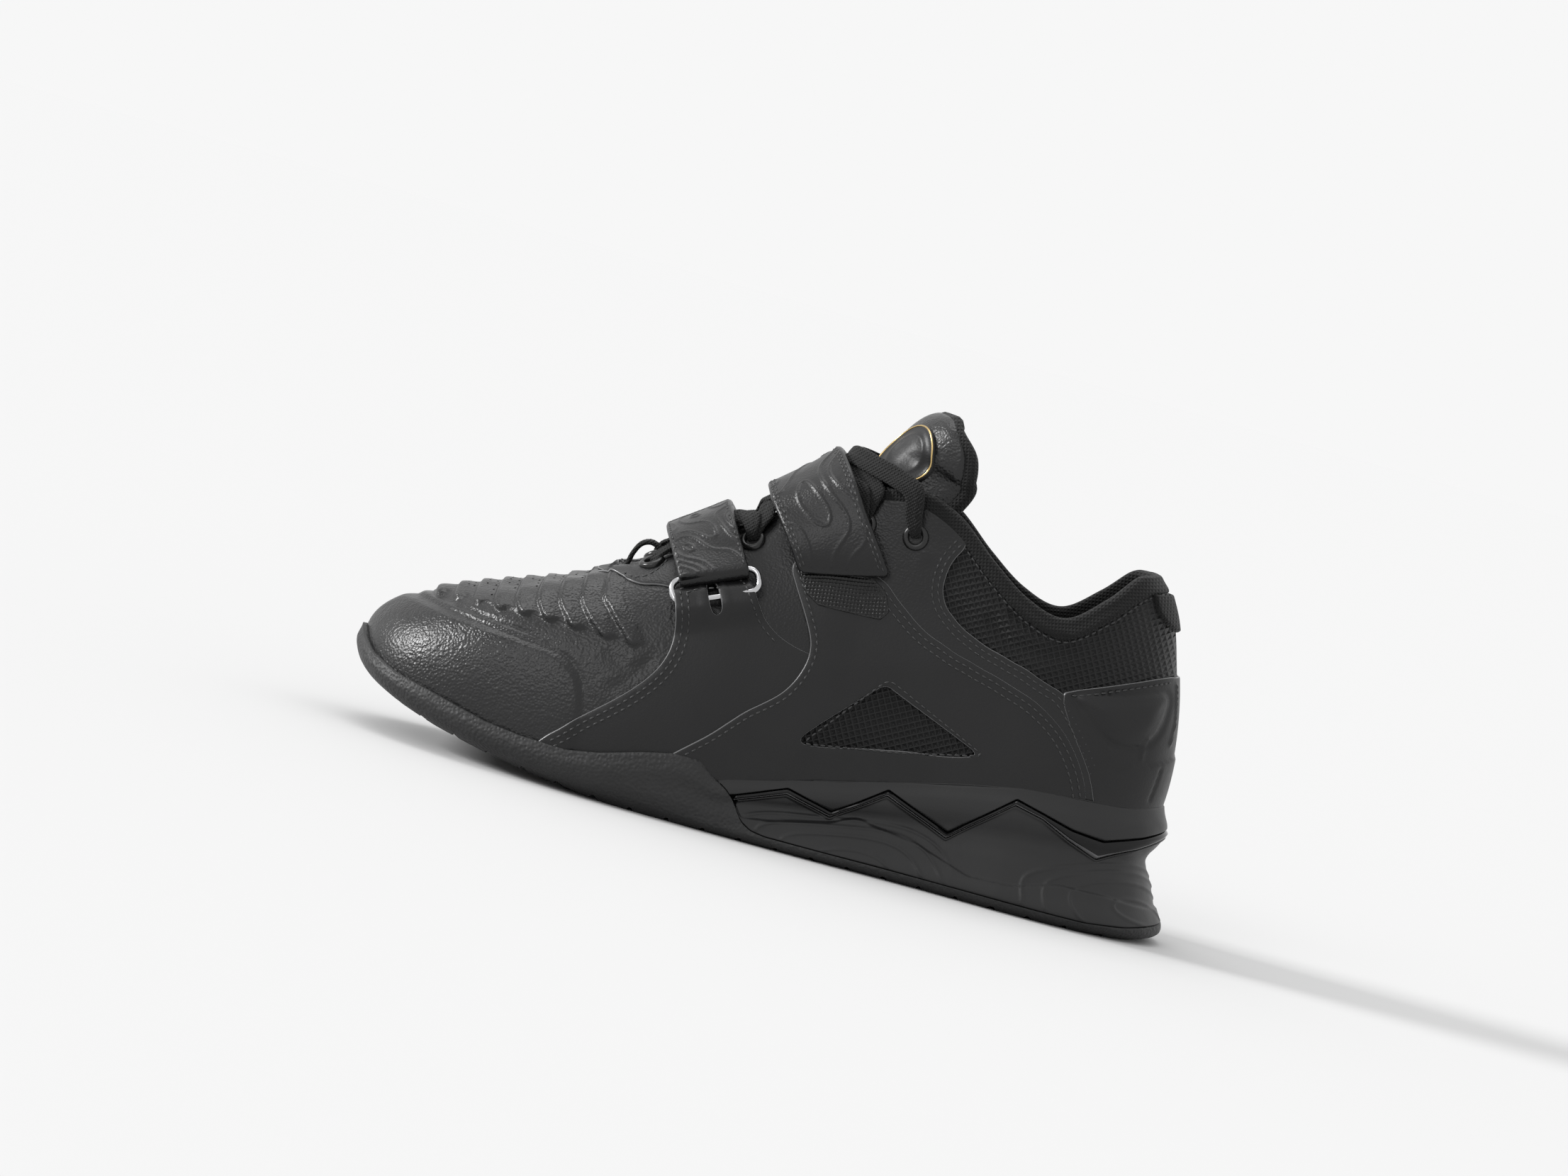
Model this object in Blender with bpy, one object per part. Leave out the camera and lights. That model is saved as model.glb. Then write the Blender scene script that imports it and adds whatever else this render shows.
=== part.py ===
"""Weightlifting shoe for a left foot, with a raised heel and two instep straps.

The toe points to -X, the outer side of the foot to -Y and up is +Z. The origin
lies on the ground under the heel. Lengths are metres. Tables hold shares of the
named sizes that they follow.
"""
import math
from collections import namedtuple

import bmesh
import bpy
from mathutils import Vector
from mathutils.bvhtree import BVHTree

# Driving dimensions
LENGTH = 0.302              # toe rand to heel flare
HEEL_OVERHANG = 0.042       # heel flare behind the origin
BALL_WIDTH = 0.100          # upper across the ball of the foot
ANKLE_WIDTH = 0.063         # collar, outside to outside
INSTEP_HEIGHT = 0.131       # ground to the top of the lace stays
HEEL_RISE = 0.042           # ground to the footbed under the heel
HEEL_CUP = 0.048            # ground to the rim of the heel cup
HEEL_FLARE = 0.0136         # how far the heel's foot stands out behind the upper
RAND_BULGE = 0.0035         # how far the toe rand stands out
UPPER_WALL = 0.0026
STAY_STEP = 0.0009          # lace stays stand this much above the upper
GAP = 0.0003                # clearance between neighbouring pieces
LIP_CLEAR = 0.0005          # clearance between the rand's lip and the upper
LIP_WALL = 0.0020           # thickness of the rand's lip at its top
RIM_CLEAR = 0.0006          # clearance between the sewn overlays and the sole's rim
OVERLAY = 0.0012            # thickness of the sewn overlays
TONGUE_WALL = 0.0042
INSOLE_THICKNESS = 0.0040
STRAP_WALL = 0.0020
LACE_WIDTH = 0.0075
LACE_THICKNESS = 0.0014
LACE_RISE = 0.45            # share of its thickness that a crossing lace is higher
EYELET_RADIUS = 0.0046
EYELET_HOLE = 0.0022
EYELET_HEIGHT = 0.0012
EYELET_SEAT = 0.0005        # clearance under an eyelet
RING_WIRE = 0.0011          # radius of the strap ring's wire
BADGE_RADIUS = 0.0125
GROOVE_DEPTH = 0.0012
GROOVE_WIDTH = 0.0022
GROOVE_PITCH = 0.0130
TOE_RIBS = 9
TOE_RIB_HEIGHT = 0.0016
TOE_RIB_VALLEY = 0.35       # height between two ribs as a share of a rib's height
TOE_RIB_SEAT = 0.0008       # clearance under the ribs
TOE_RIB_START = 0.074       # shares of LENGTH where the ribbed band starts and ends
TOE_RIB_END = 0.268
TOE_RIB_SWEEP = 0.020       # how far a rib's ends sweep back, share of LENGTH
TOE_RIB_MIDDLE = 0.02       # middle and half width of the band, shares of BALL_WIDTH
TOE_RIB_HALF = 0.28
LOOP_WIDTH = 0.008
LOOP_THICKNESS = 0.0012

TOE_TIP = HEEL_OVERHANG - LENGTH
RIB_SAMPLES = 2             # surface columns for each rib of the table
UPPER_LEVELS = (0.0, 0.11, 0.24, 0.40, 0.58, 0.70, 0.79, 0.82, 0.91, 1.0)
STAY_LEVELS = (0.79, 0.82)

# One row for each rib of the last, from the toe to the heel. Along is a share of
# LENGTH from the toe tip, foot outer and inner are shares of BALL_WIDTH, foot up
# of HEEL_RISE, edge out of ANKLE_WIDTH and edge up of INSTEP_HEIGHT. The low
# handle goes out by a share of BALL_WIDTH and up by a share of the rib's height.
# The high handle goes back towards the foot by shares of the rib's run and rise.
Rib = namedtuple("Rib", "foot_along foot_outer foot_inner foot_up low_out low_up "
                        "edge_along edge_out edge_up high_in high_down")
RIBS = [
    Rib(0.0120, -0.080, 0.080, 0.738, 0.004, 0.43, 0.2780, 0.000, 0.572, 0.52, 0.38),
    Rib(0.0160, -0.005, 0.165, 0.708, 0.006, 0.43, 0.2785, 0.048, 0.573, 0.52, 0.36),
    Rib(0.0285, 0.105, 0.250, 0.625, 0.008, 0.44, 0.2810, 0.095, 0.576, 0.52, 0.34),
    Rib(0.0500, 0.205, 0.320, 0.538, 0.012, 0.46, 0.2855, 0.135, 0.584, 0.53, 0.31),
    Rib(0.0850, 0.295, 0.375, 0.467, 0.018, 0.48, 0.2935, 0.163, 0.599, 0.54, 0.27),
    Rib(0.1350, 0.375, 0.420, 0.412, 0.024, 0.48, 0.3060, 0.182, 0.622, 0.55, 0.23),
    Rib(0.2000, 0.440, 0.460, 0.338, 0.028, 0.46, 0.3255, 0.195, 0.653, 0.55, 0.20),
    Rib(0.2650, 0.485, 0.485, 0.314, 0.028, 0.44, 0.3510, 0.206, 0.691, 0.55, 0.18),
    Rib(0.3300, 0.508, 0.480, 0.333, 0.024, 0.42, 0.3825, 0.219, 0.740, 0.54, 0.19),
    Rib(0.3950, 0.500, 0.440, 0.369, 0.018, 0.40, 0.4190, 0.235, 0.801, 0.53, 0.22),
    Rib(0.4550, 0.470, 0.390, 0.424, 0.012, 0.38, 0.4585, 0.262, 0.866, 0.52, 0.26),
    Rib(0.5150, 0.435, 0.352, 0.548, 0.010, 0.36, 0.5015, 0.302, 0.927, 0.50, 0.31),
    Rib(0.5750, 0.400, 0.328, 0.643, 0.010, 0.35, 0.5480, 0.357, 0.975, 0.46, 0.35),
    Rib(0.6300, 0.375, 0.320, 0.738, 0.012, 0.34, 0.5925, 0.413, 1.000, 0.38, 0.36),
    Rib(0.6850, 0.362, 0.325, 0.833, 0.014, 0.34, 0.6420, 0.460, 0.966, 0.30, 0.36),
    Rib(0.7400, 0.356, 0.332, 0.919, 0.016, 0.34, 0.6940, 0.492, 0.874, 0.22, 0.36),
    Rib(0.7950, 0.350, 0.336, 0.983, 0.018, 0.34, 0.7430, 0.500, 0.803, 0.20, 0.36),
    Rib(0.8480, 0.328, 0.320, 1.000, 0.022, 0.34, 0.7910, 0.484, 0.779, 0.25, 0.36),
    Rib(0.8930, 0.283, 0.283, 1.000, 0.028, 0.33, 0.8330, 0.429, 0.855, 0.48, 0.34),
    Rib(0.9280, 0.212, 0.212, 1.000, 0.032, 0.31, 0.8620, 0.318, 0.931, 0.66, 0.31),
    Rib(0.9490, 0.115, 0.115, 1.000, 0.034, 0.29, 0.8790, 0.182, 0.946, 0.78, 0.29),
    Rib(0.9560, 0.000, 0.000, 1.000, 0.034, 0.28, 0.8870, 0.000, 0.948, 0.82, 0.28),
]
HEEL_ROW = len(RIBS) - 1
LOOP = 2 * HEEL_ROW         # rib positions once round the shoe
STAY_START = 5.7            # ribs where the lace stays start and end on each side
STAY_END = 13.6

# Crest of the instep over the throat, for the ribs that end at the lace stays
Crest = namedtuple("Crest", "row along up")
CRESTS = [
    Crest(4, 0.2925, 0.602), Crest(5, 0.3045, 0.628), Crest(6, 0.3225, 0.661),
    Crest(7, 0.3465, 0.702), Crest(8, 0.3765, 0.752), Crest(9, 0.4100, 0.813),
    Crest(10, 0.4445, 0.880), Crest(11, 0.4785, 0.948), Crest(12, 0.5060, 1.013),
    Crest(13, 0.5200, 1.075),
]

# Lines along the side of the sole: share of LENGTH and height as a share of HEEL_CUP
Line = namedtuple("Line", "along up")
GROUND_LINE = [Line(0.0, 0.50), Line(0.017, 0.36), Line(0.033, 0.312), Line(0.066, 0.246),
               Line(0.116, 0.175), Line(0.182, 0.104), Line(0.248, 0.054), Line(0.315, 0.017),
               Line(0.365, 0.0), Line(1.0, 0.0)]
RAND_LINE = [Line(0.0, 0.71), Line(0.012, 0.69), Line(0.020, 0.61), Line(0.033, 0.545),
             Line(0.066, 0.470), Line(0.116, 0.417), Line(0.182, 0.335), Line(0.225, 0.313),
             Line(0.281, 0.313), Line(0.315, 0.354), Line(0.364, 0.448), Line(0.397, 0.496),
             Line(0.427, 0.500), Line(0.447, 0.406), Line(0.464, 0.344), Line(0.477, 0.270),
             Line(0.490, 0.146), Line(0.503, 0.098), Line(0.520, 0.082), Line(0.893, 0.082),
             Line(0.925, 0.105), Line(0.957, 0.160)]
WEDGE_STEP = [Line(0.465, 0.15), Line(0.530, 0.21), Line(0.590, 0.30), Line(0.620, 0.378),
              Line(0.645, 0.350), Line(0.695, 0.312), Line(0.760, 0.190), Line(0.810, 0.205),
              Line(0.860, 0.300), Line(0.910, 0.300), Line(0.957, 0.255)]
INSERT_LOW = [Line(0.465, 0.255), Line(0.477, 0.281), Line(0.533, 0.420), Line(0.589, 0.333),
              Line(0.646, 0.594), Line(0.725, 0.406), Line(0.791, 0.775), Line(0.825, 0.729),
              Line(0.860, 0.625), Line(0.897, 0.535), Line(0.932, 0.660), Line(0.957, 0.790)]
INSERT_HIGH = [Line(0.465, 0.300), Line(0.477, 0.323), Line(0.533, 0.462), Line(0.589, 0.375),
               Line(0.646, 0.635), Line(0.725, 0.448), Line(0.791, 0.817), Line(0.825, 0.765),
               Line(0.860, 0.706), Line(0.897, 0.680), Line(0.932, 0.760), Line(0.957, 0.835)]
CUP_LINE = [Line(0.450, 0.385), Line(0.464, 0.417), Line(0.497, 0.469), Line(0.530, 0.521),
            Line(0.596, 0.615), Line(0.662, 0.719), Line(0.728, 0.823), Line(0.795, 0.906),
            Line(0.861, 0.940), Line(0.920, 0.960), Line(0.957, 1.0)]
CUP_NOSE = 0.4640           # shares of LENGTH where the layers of the heel start
INSERT_NOSE = 0.4770
WEDGE_NOSE = 0.4815

# Side profile of the sole, from the ground up: height as a share of the side's
# own height, and how far it stands out as a share of RAND_BULGE or HEEL_FLARE
Profile = namedtuple("Profile", "up out")
TOE_PROFILE = [Profile(0.0, -1.70), Profile(0.13, -0.35), Profile(0.33, 0.55),
               Profile(0.55, 0.90), Profile(0.72, 1.0), Profile(1.0, 0.75)]
HEEL_PROFILE = [Profile(0.0, 0.30), Profile(0.03, 0.72), Profile(0.07, 0.95),
                Profile(0.11, 1.0), Profile(0.16, 0.95), Profile(0.25, 0.74),
                Profile(0.34, 0.59), Profile(0.42, 0.47), Profile(0.50, 0.29),
                Profile(0.575, 0.17), Profile(0.63, 0.22), Profile(0.69, 0.36),
                Profile(0.75, 0.46), Profile(0.80, 0.47), Profile(0.87, 0.42),
                Profile(0.94, 0.28), Profile(1.0, 0.20)]
SIDE_FLARE = 0.50           # share of the heel's flare that its sides have
BLEND_START = 0.32          # shares of LENGTH where the toe profile fades into the heel's
BLEND_END = 0.62
RIM_START = 0.427           # share of LENGTH where the rand hands over to the heel cup


def station(share):
    """The X of a share of the length, from the toe tip."""
    return TOE_TIP + share * LENGTH


def line_height(line, x):
    """Height of a side line of the sole at X."""
    share = (x - TOE_TIP) / LENGTH
    if share <= line[0].along:
        return line[0].up * HEEL_CUP
    for low, high in zip(line, line[1:]):
        if share <= high.along:
            t = (share - low.along) / (high.along - low.along)
            return (low.up + t * (high.up - low.up)) * HEEL_CUP
    return line[-1].up * HEEL_CUP


def profile_out(profile, share):
    """How far a side profile stands out at a share of its height."""
    for low, high in zip(profile, profile[1:]):
        if share <= high.up:
            t = max(0.0, (share - low.up) / (high.up - low.up))
            return low.out + t * (high.out - low.out)
    return profile[-1].out


def ease(low, high, value):
    """0 below low, 1 above high, smooth between them."""
    t = min(1.0, max(0.0, (value - low) / (high - low)))
    return t * t * (3.0 - 2.0 * t)


def round_loop(make):
    """Rows once round the shoe: outer side from toe to heel, inner side back."""
    outer = [make(rib, -1.0) for rib in RIBS]
    inner = [make(rib, 1.0) for rib in RIBS]
    return outer + inner[-2:0:-1]


def foot_row(rib, side):
    half = rib.foot_inner if side > 0 else rib.foot_outer
    return Vector((station(rib.foot_along), side * half * BALL_WIDTH, rib.foot_up * HEEL_RISE))


def edge_row(rib, side):
    return Vector((station(rib.edge_along), side * rib.edge_out * ANKLE_WIDTH,
                   rib.edge_up * INSTEP_HEIGHT))


def smooth(values, position):
    """A closed Catmull-Rom curve through the values, read at a row position."""
    count = len(values)
    base = math.floor(position)
    t = position - base
    a, b, c, d = (values[(base + k) % count] for k in (-1, 0, 1, 2))
    return 0.5 * (2.0 * b + (c - a) * t + (2.0 * a - 5.0 * b + 4.0 * c - d) * t * t
                  + (3.0 * b - a - 3.0 * c + d) * t * t * t)


def plan_normal(values, position):
    """The level direction that points out of the loop at a row position."""
    step = 0.05
    run = smooth(values, position + step) - smooth(values, position - step)
    return Vector((run.y, -run.x, 0.0)).normalized()


def rib_controls():
    """The four Bezier handles of every rib, once round the shoe."""
    feet = round_loop(foot_row)
    edges = round_loop(edge_row)
    rows = round_loop(lambda rib, side: rib)
    low = []
    high = []
    for k, rib in enumerate(rows):
        rise = edges[k].z - feet[k].z
        run = edges[k] - feet[k]
        out = plan_normal(feet, k) * rib.low_out * BALL_WIDTH
        low.append(feet[k] + out + Vector((0.0, 0.0, rib.low_up * rise)))
        high.append(edges[k] - Vector((run.x * rib.high_in, run.y * rib.high_in,
                                       rise * rib.high_down)))
    return feet, low, high, edges


FEET, LOW, HIGH, EDGES = rib_controls()


def last_point(position, v):
    """A point of the last: row position round the shoe, share v up the rib."""
    p0, p1, p2, p3 = (smooth(c, position) for c in (FEET, LOW, HIGH, EDGES))
    u = 1.0 - v
    return p0 * u ** 3 + p1 * 3 * u * u * v + p2 * 3 * u * v * v + p3 * v ** 3


def last_normal(position, v):
    """The direction out of the last there."""
    step = 0.02
    lo = max(0.0, v - step)
    hi = min(1.0, v + step)
    along = last_point(position + step, v) - last_point(position - step, v)
    up = last_point(position, hi) - last_point(position, lo)
    return along.cross(up).normalized()


def stay_share(position, v):
    """1 on the lace stays, 0 on the rest of the upper."""
    row = min(position % LOOP, LOOP - position % LOOP)
    return (ease(*STAY_LEVELS, v) * ease(STAY_START, STAY_START + 1.0, row)
            * (1.0 - ease(STAY_END - 1.0, STAY_END, row)))


def upper_point(position, v, out=0.0):
    """A point on the upper's outer face, or that far outside it."""
    lift = out + STAY_STEP * stay_share(position, v)
    return last_point(position, v) + last_normal(position, v) * lift


def mesh_object(name, bm, finish):
    """A new object from a bmesh, with its faces out."""
    bmesh.ops.remove_doubles(bm, verts=bm.verts, dist=1e-6)
    bmesh.ops.recalc_face_normals(bm, faces=bm.faces)
    mesh = bpy.data.meshes.new(name)
    bm.to_mesh(mesh)
    bm.free()
    obj = bpy.data.objects.new(name, mesh)
    PARTS.objects.link(obj)
    mesh.materials.append(finish)
    mesh.shade_smooth()
    mesh.set_sharp_from_angle(angle=math.radians(38))
    return obj


def quad(bm, *corners):
    """A face, left out where its corners fall together."""
    kept = []
    for vert in corners:
        if vert not in kept:
            kept.append(vert)
    if len(kept) > 2:
        bm.faces.new(kept)


def sheet_solid(name, top, under, finish, closed=False):
    """A closed sheet between two grids of points; closed joins its first and last rows."""
    bm = bmesh.new()
    upper = [[bm.verts.new(p) for p in row] for row in top]
    lower = [[bm.verts.new(p) for p in row] for row in under]
    rows = len(top)
    columns = len(top[0])
    spans = [(i, (i + 1) % rows) for i in range(rows if closed else rows - 1)]
    for i, j in spans:
        for k in range(columns - 1):
            for grid in (upper, lower):
                quad(bm, grid[i][k], grid[j][k], grid[j][k + 1])
                quad(bm, grid[i][k], grid[j][k + 1], grid[i][k + 1])
        for k in (0, columns - 1):
            quad(bm, upper[i][k], lower[i][k], lower[j][k], upper[j][k])
    if not closed:
        for i in (0, rows - 1):
            for k in range(columns - 1):
                quad(bm, upper[i][k], upper[i][k + 1], lower[i][k + 1], lower[i][k])
    return mesh_object(name, bm, finish)


def ladder_solid(name, outer, inner, finish):
    """A closed body between matching columns of the outer and the inner side."""
    bm = bmesh.new()
    sides = []
    for columns in (outer, inner):
        sides.append([[bm.verts.new(p) for p in column] for column in columns])
    last = len(outer) - 1
    for i in range(last):
        for side in sides:
            for k in range(len(side[i]) - 1):
                quad(bm, side[i][k], side[i + 1][k], side[i + 1][k + 1], side[i][k + 1])
        for k in (0, -1):
            quad(bm, sides[0][i][k], sides[0][i + 1][k], sides[1][i + 1][k], sides[1][i][k])
    for i in (0, last):
        if (outer[i][0] - inner[i][0]).length > 1e-5:
            quad(bm, *sides[0][i], *sides[1][i][::-1])
    return mesh_object(name, bm, finish)


def ribbon_solid(name, middle, thickness, finish):
    """A strip of even thickness whose middle runs through the rows of points."""
    top = []
    under = []
    for i, row in enumerate(middle):
        before = middle[max(0, i - 1)]
        after = middle[min(len(middle) - 1, i + 1)]
        top.append([])
        under.append([])
        for k, point in enumerate(row):
            across = row[min(len(row) - 1, k + 1)] - row[max(0, k - 1)]
            out = (after[k] - before[k]).cross(across).normalized() * thickness / 2.0
            top[-1].append(point + out)
            under[-1].append(point - out)
    return sheet_solid(name, top, under, finish)


def finish(name, colour, roughness, metallic=0.0):
    material = bpy.data.materials.new(name)
    material.use_nodes = True
    shader = material.node_tree.nodes["Principled BSDF"]
    shader.inputs["Base Color"].default_value = (*colour, 1.0)
    shader.inputs["Roughness"].default_value = roughness
    shader.inputs["Metallic"].default_value = metallic
    return material


# Sole


def foot_x(row):
    return smooth(FEET, row).x


def row_at(share):
    """The rib row whose foot lies at a share of the length."""
    low, high = 0.0, float(HEEL_ROW)
    for _ in range(40):
        middle = (low + high) / 2.0
        if foot_x(middle) < station(share):
            low = middle
        else:
            high = middle
    return (low + high) / 2.0


def section_rows():
    """Rib rows of the sections that sole and upper share, one at each line's corner."""
    corners = [p.along for p in RAND_LINE if p.along > 0.40]
    corners.append(WEDGE_NOSE)
    corners += [p.along for p in INSERT_LOW if p.along > 0.50]
    kept = [0.0, float(HEEL_ROW)]
    for share in corners:
        row = row_at(share)
        if all(abs(row - other) > 0.05 for other in kept):
            kept.append(row)
    for k in range(1, HEEL_ROW * RIB_SAMPLES):
        if all(abs(k / RIB_SAMPLES - other) > 0.30 for other in kept):
            kept.append(k / RIB_SAMPLES)
    return sorted(kept)


ROWS = section_rows()


def loop_position(row, side):
    return row if side < 0 else (LOOP - row) % LOOP


def side_out(x, height, rear):
    """How far the sole stands out from the foot's outline at X and a height."""
    share = (x - TOE_TIP) / LENGTH
    ground = line_height(GROUND_LINE, x)
    rim = line_height(RAND_LINE if share < RIM_START else CUP_LINE, x)
    up = (height - ground) / (rim - ground)
    toe = RAND_BULGE * profile_out(TOE_PROFILE, up)
    flare = SIDE_FLARE + (1.0 - SIDE_FLARE) * rear
    heel = HEEL_FLARE * flare * profile_out(HEEL_PROFILE, up)
    blend = ease(BLEND_START, BLEND_END, share)
    return toe + (heel - toe) * blend


def sole_point(position, height, inset=0.0):
    """A point on the sole's side at a row position and a height."""
    foot = smooth(FEET, position)
    out = plan_normal(FEET, position)
    point = foot + out * (side_out(foot.x, height, max(0.0, out.x)) - inset)
    point.z = height
    return point


def lip_points(position, height):
    """The lip's outer and inner top, and the footbed's edge inside it."""
    low, high = 0.0, 0.5
    for _ in range(24):
        middle = (low + high) / 2.0
        if last_point(position, middle).z < height:
            low = middle
        else:
            high = middle
    out = plan_normal(FEET, position)
    inside = last_point(position, low) + out * LIP_CLEAR
    inside.z = height
    foot = smooth(FEET, position)
    bed = foot + out * LIP_CLEAR
    bed.z = foot.z - GAP
    return inside + out * LIP_WALL, inside, bed


SEAM = GAP * 1.4            # upright clearance between the sole's slanted layers
OUTSOLE_LEVELS = (0.0, 0.13, 0.36, 0.70)
CUP_LEVELS = (0.0, 0.33, 0.66)
STEP_INSET = 0.0009
MIN_LIP = 0.0009


def outsole_column(position):
    foot = smooth(FEET, position)
    base = line_height(GROUND_LINE, foot.x)
    top = line_height(RAND_LINE, foot.x)
    column = [sole_point(position, base + share * (top - base)) for share in OUTSOLE_LEVELS]
    if top > foot.z + MIN_LIP:
        return column + list(lip_points(position, top))
    return column + [sole_point(position, top)] * 3


def wedge_column(position):
    x = smooth(FEET, position).x
    base = line_height(RAND_LINE, x) + SEAM
    top = line_height(INSERT_LOW, x) - SEAM / 2.0
    step = min(max(line_height(WEDGE_STEP, x), base + 0.35 * (top - base)),
               base + 0.72 * (top - base))
    return [sole_point(position, base), sole_point(position, (base + step) / 2.0),
            sole_point(position, step - STEP_INSET / 2.0),
            sole_point(position, step + STEP_INSET / 2.0, STEP_INSET),
            sole_point(position, top)]


def insert_column(position):
    x = smooth(FEET, position).x
    base = max(line_height(INSERT_LOW, x) + SEAM / 2.0, line_height(RAND_LINE, x) + SEAM)
    top = line_height(INSERT_HIGH, x) - SEAM / 2.0
    return [sole_point(position, base), sole_point(position, top)]


def carrier_column(position):
    foot = smooth(FEET, position)
    base = max(line_height(INSERT_HIGH, foot.x), line_height(RAND_LINE, foot.x)) + SEAM
    rim = line_height(CUP_LINE, foot.x)
    column = [sole_point(position, base + share * (rim - base)) for share in CUP_LEVELS]
    return column + list(lip_points(position, rim))


def sole_layer(name, make, start, material):
    rows = [row for row in ROWS if start is None or row > row_at(start) - 0.01]
    outer = [make(loop_position(row, -1.0)) for row in rows]
    inner = [make(loop_position(row, 1.0)) for row in rows]
    return ladder_solid(name, outer, inner, material)


def cut_grooves(outsole):
    """Straight tread grooves across the sole, clear of the flat under the heel."""
    bm = bmesh.new()
    count = int((LENGTH - GROOVE_PITCH) / GROOVE_PITCH)
    for k in range(count):
        x = (k - count + 3.5) * GROOVE_PITCH
        top = line_height(GROUND_LINE, x) + GROOVE_DEPTH
        box = bmesh.ops.create_cube(bm, size=1.0)["verts"]
        bmesh.ops.scale(bm, verts=box, vec=(GROOVE_WIDTH, 2.0 * BALL_WIDTH, GROOVE_PITCH))
        bmesh.ops.translate(bm, verts=box, vec=(x, 0.0, top - GROOVE_PITCH / 2.0))
    boolean(outsole, cutter("groove_cutter", bm), "DIFFERENCE")


def cutter(name, bm):
    mesh = bpy.data.meshes.new(name)
    bmesh.ops.recalc_face_normals(bm, faces=bm.faces)
    bm.to_mesh(mesh)
    bm.free()
    obj = bpy.data.objects.new(name, mesh)
    CUTTERS.objects.link(obj)
    obj.hide_render = True
    obj.display_type = "WIRE"
    return obj


def boolean(obj, other, operation):
    modifier = obj.modifiers.new(operation.lower(), "BOOLEAN")
    modifier.operation = operation
    modifier.solver = "EXACT"
    modifier.object = other


def build_sole():
    rubber = finish("rubber_black", (0.018, 0.018, 0.019), 0.72)
    plate = finish("heel_wedge_black", (0.022, 0.022, 0.023), 0.55)
    gloss = finish("insert_gloss_black", (0.012, 0.012, 0.013), 0.12)
    cut_grooves(sole_layer("outsole", outsole_column, None, rubber))
    sole_layer("heel_wedge", wedge_column, WEDGE_NOSE, plate)
    sole_layer("heel_insert", insert_column, INSERT_NOSE, gloss)
    sole_layer("heel_cup", carrier_column, CUP_NOSE, plate)


def build_insole():
    """A flat insole inside the upper's foot."""
    outer, inner = [], []
    for row in ROWS:
        for side, columns in ((-1.0, outer), (1.0, inner)):
            position = loop_position(row, side)
            edge = smooth(FEET, position)
            edge = edge - plan_normal(FEET, position) * (UPPER_WALL + 4.0 * GAP)
            columns.append([edge + Vector((0.0, 0.0, lift))
                            for lift in (GAP, GAP + INSOLE_THICKNESS)])
    ladder_solid("insole", outer, inner, finish("insole_black", (0.03, 0.03, 0.032), 0.8))


# Upper


def upper_positions():
    """Row positions once round the shoe, at the sections of the sole."""
    return ROWS + [LOOP - row for row in ROWS[-2:0:-1]]


def build_upper():
    """The hollow shell from the foot's outline to the throat and collar."""
    top = [[upper_point(q, v) for v in UPPER_LEVELS] for q in upper_positions()]
    under = [[upper_point(q, v, -UPPER_WALL) for v in UPPER_LEVELS] for q in upper_positions()]
    for row, inside in zip(top, under):
        inside[0].z = row[0].z
    leather = finish("leather_black", (0.02, 0.02, 0.021), 0.5)
    return sheet_solid("upper", top, under, leather, closed=True)


# Outlines of the sewn overlays seen from the side: share of LENGTH, share of INSTEP_HEIGHT
Spot = namedtuple("Spot", "along up")
STRAP_BASE = [Spot(0.262, 0.128), Spot(0.281, 0.202), Spot(0.315, 0.271), Spot(0.348, 0.355),
              Spot(0.3625, 0.443), Spot(0.354, 0.557), Spot(0.391, 0.618), Spot(0.432, 0.656),
              Spot(0.450, 0.592), Spot(0.480, 0.542), Spot(0.5105, 0.527), Spot(0.5095, 0.473),
              Spot(0.496, 0.420), Spot(0.472, 0.366), Spot(0.438, 0.294), Spot(0.406, 0.228),
              Spot(0.394, 0.197), Spot(0.364, 0.180), Spot(0.331, 0.157), Spot(0.298, 0.137)]
QUARTER = [Spot(0.417, 0.2175), Spot(0.430, 0.252), Spot(0.4636, 0.336), Spot(0.4967, 0.401),
           Spot(0.508, 0.4465), Spot(0.5166, 0.5115), Spot(0.5156, 0.550), Spot(0.497, 0.626),
           Spot(0.4735, 0.7405), Spot(0.5795, 0.7595), Spot(0.6126, 0.698),
           Spot(0.6457, 0.653), Spot(0.695, 0.618), Spot(0.7616, 0.576), Spot(0.795, 0.546),
           Spot(0.828, 0.492), Spot(0.851, 0.4275), Spot(0.861, 0.366), Spot(0.795, 0.347),
           Spot(0.7285, 0.3165), Spot(0.662, 0.279), Spot(0.596, 0.240), Spot(0.530, 0.206),
           Spot(0.4636, 0.1725), Spot(0.4437, 0.190), Spot(0.417, 0.200)]
WINDOW = [Spot(0.535, 0.3015), Spot(0.6126, 0.4885), Spot(0.730, 0.389), Spot(0.662, 0.352),
          Spot(0.596, 0.316)]
COUNTER = [Spot(0.894, 0.362), Spot(0.874, 0.439), Spot(0.8477, 0.515), Spot(0.821, 0.580),
           Spot(0.811, 0.603), Spot(0.828, 0.622), Spot(0.861, 0.653), Spot(0.894, 0.683),
           Spot(0.927, 0.710), Spot(1.0, 0.735), Spot(1.0, 0.376)]
HEEL_TAB = [Spot(0.874, 0.985), Spot(0.879, 0.902), Spot(0.887, 0.863), Spot(0.900, 0.836),
            Spot(0.918, 0.817), Spot(0.960, 0.808), Spot(0.960, 0.985)]


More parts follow.
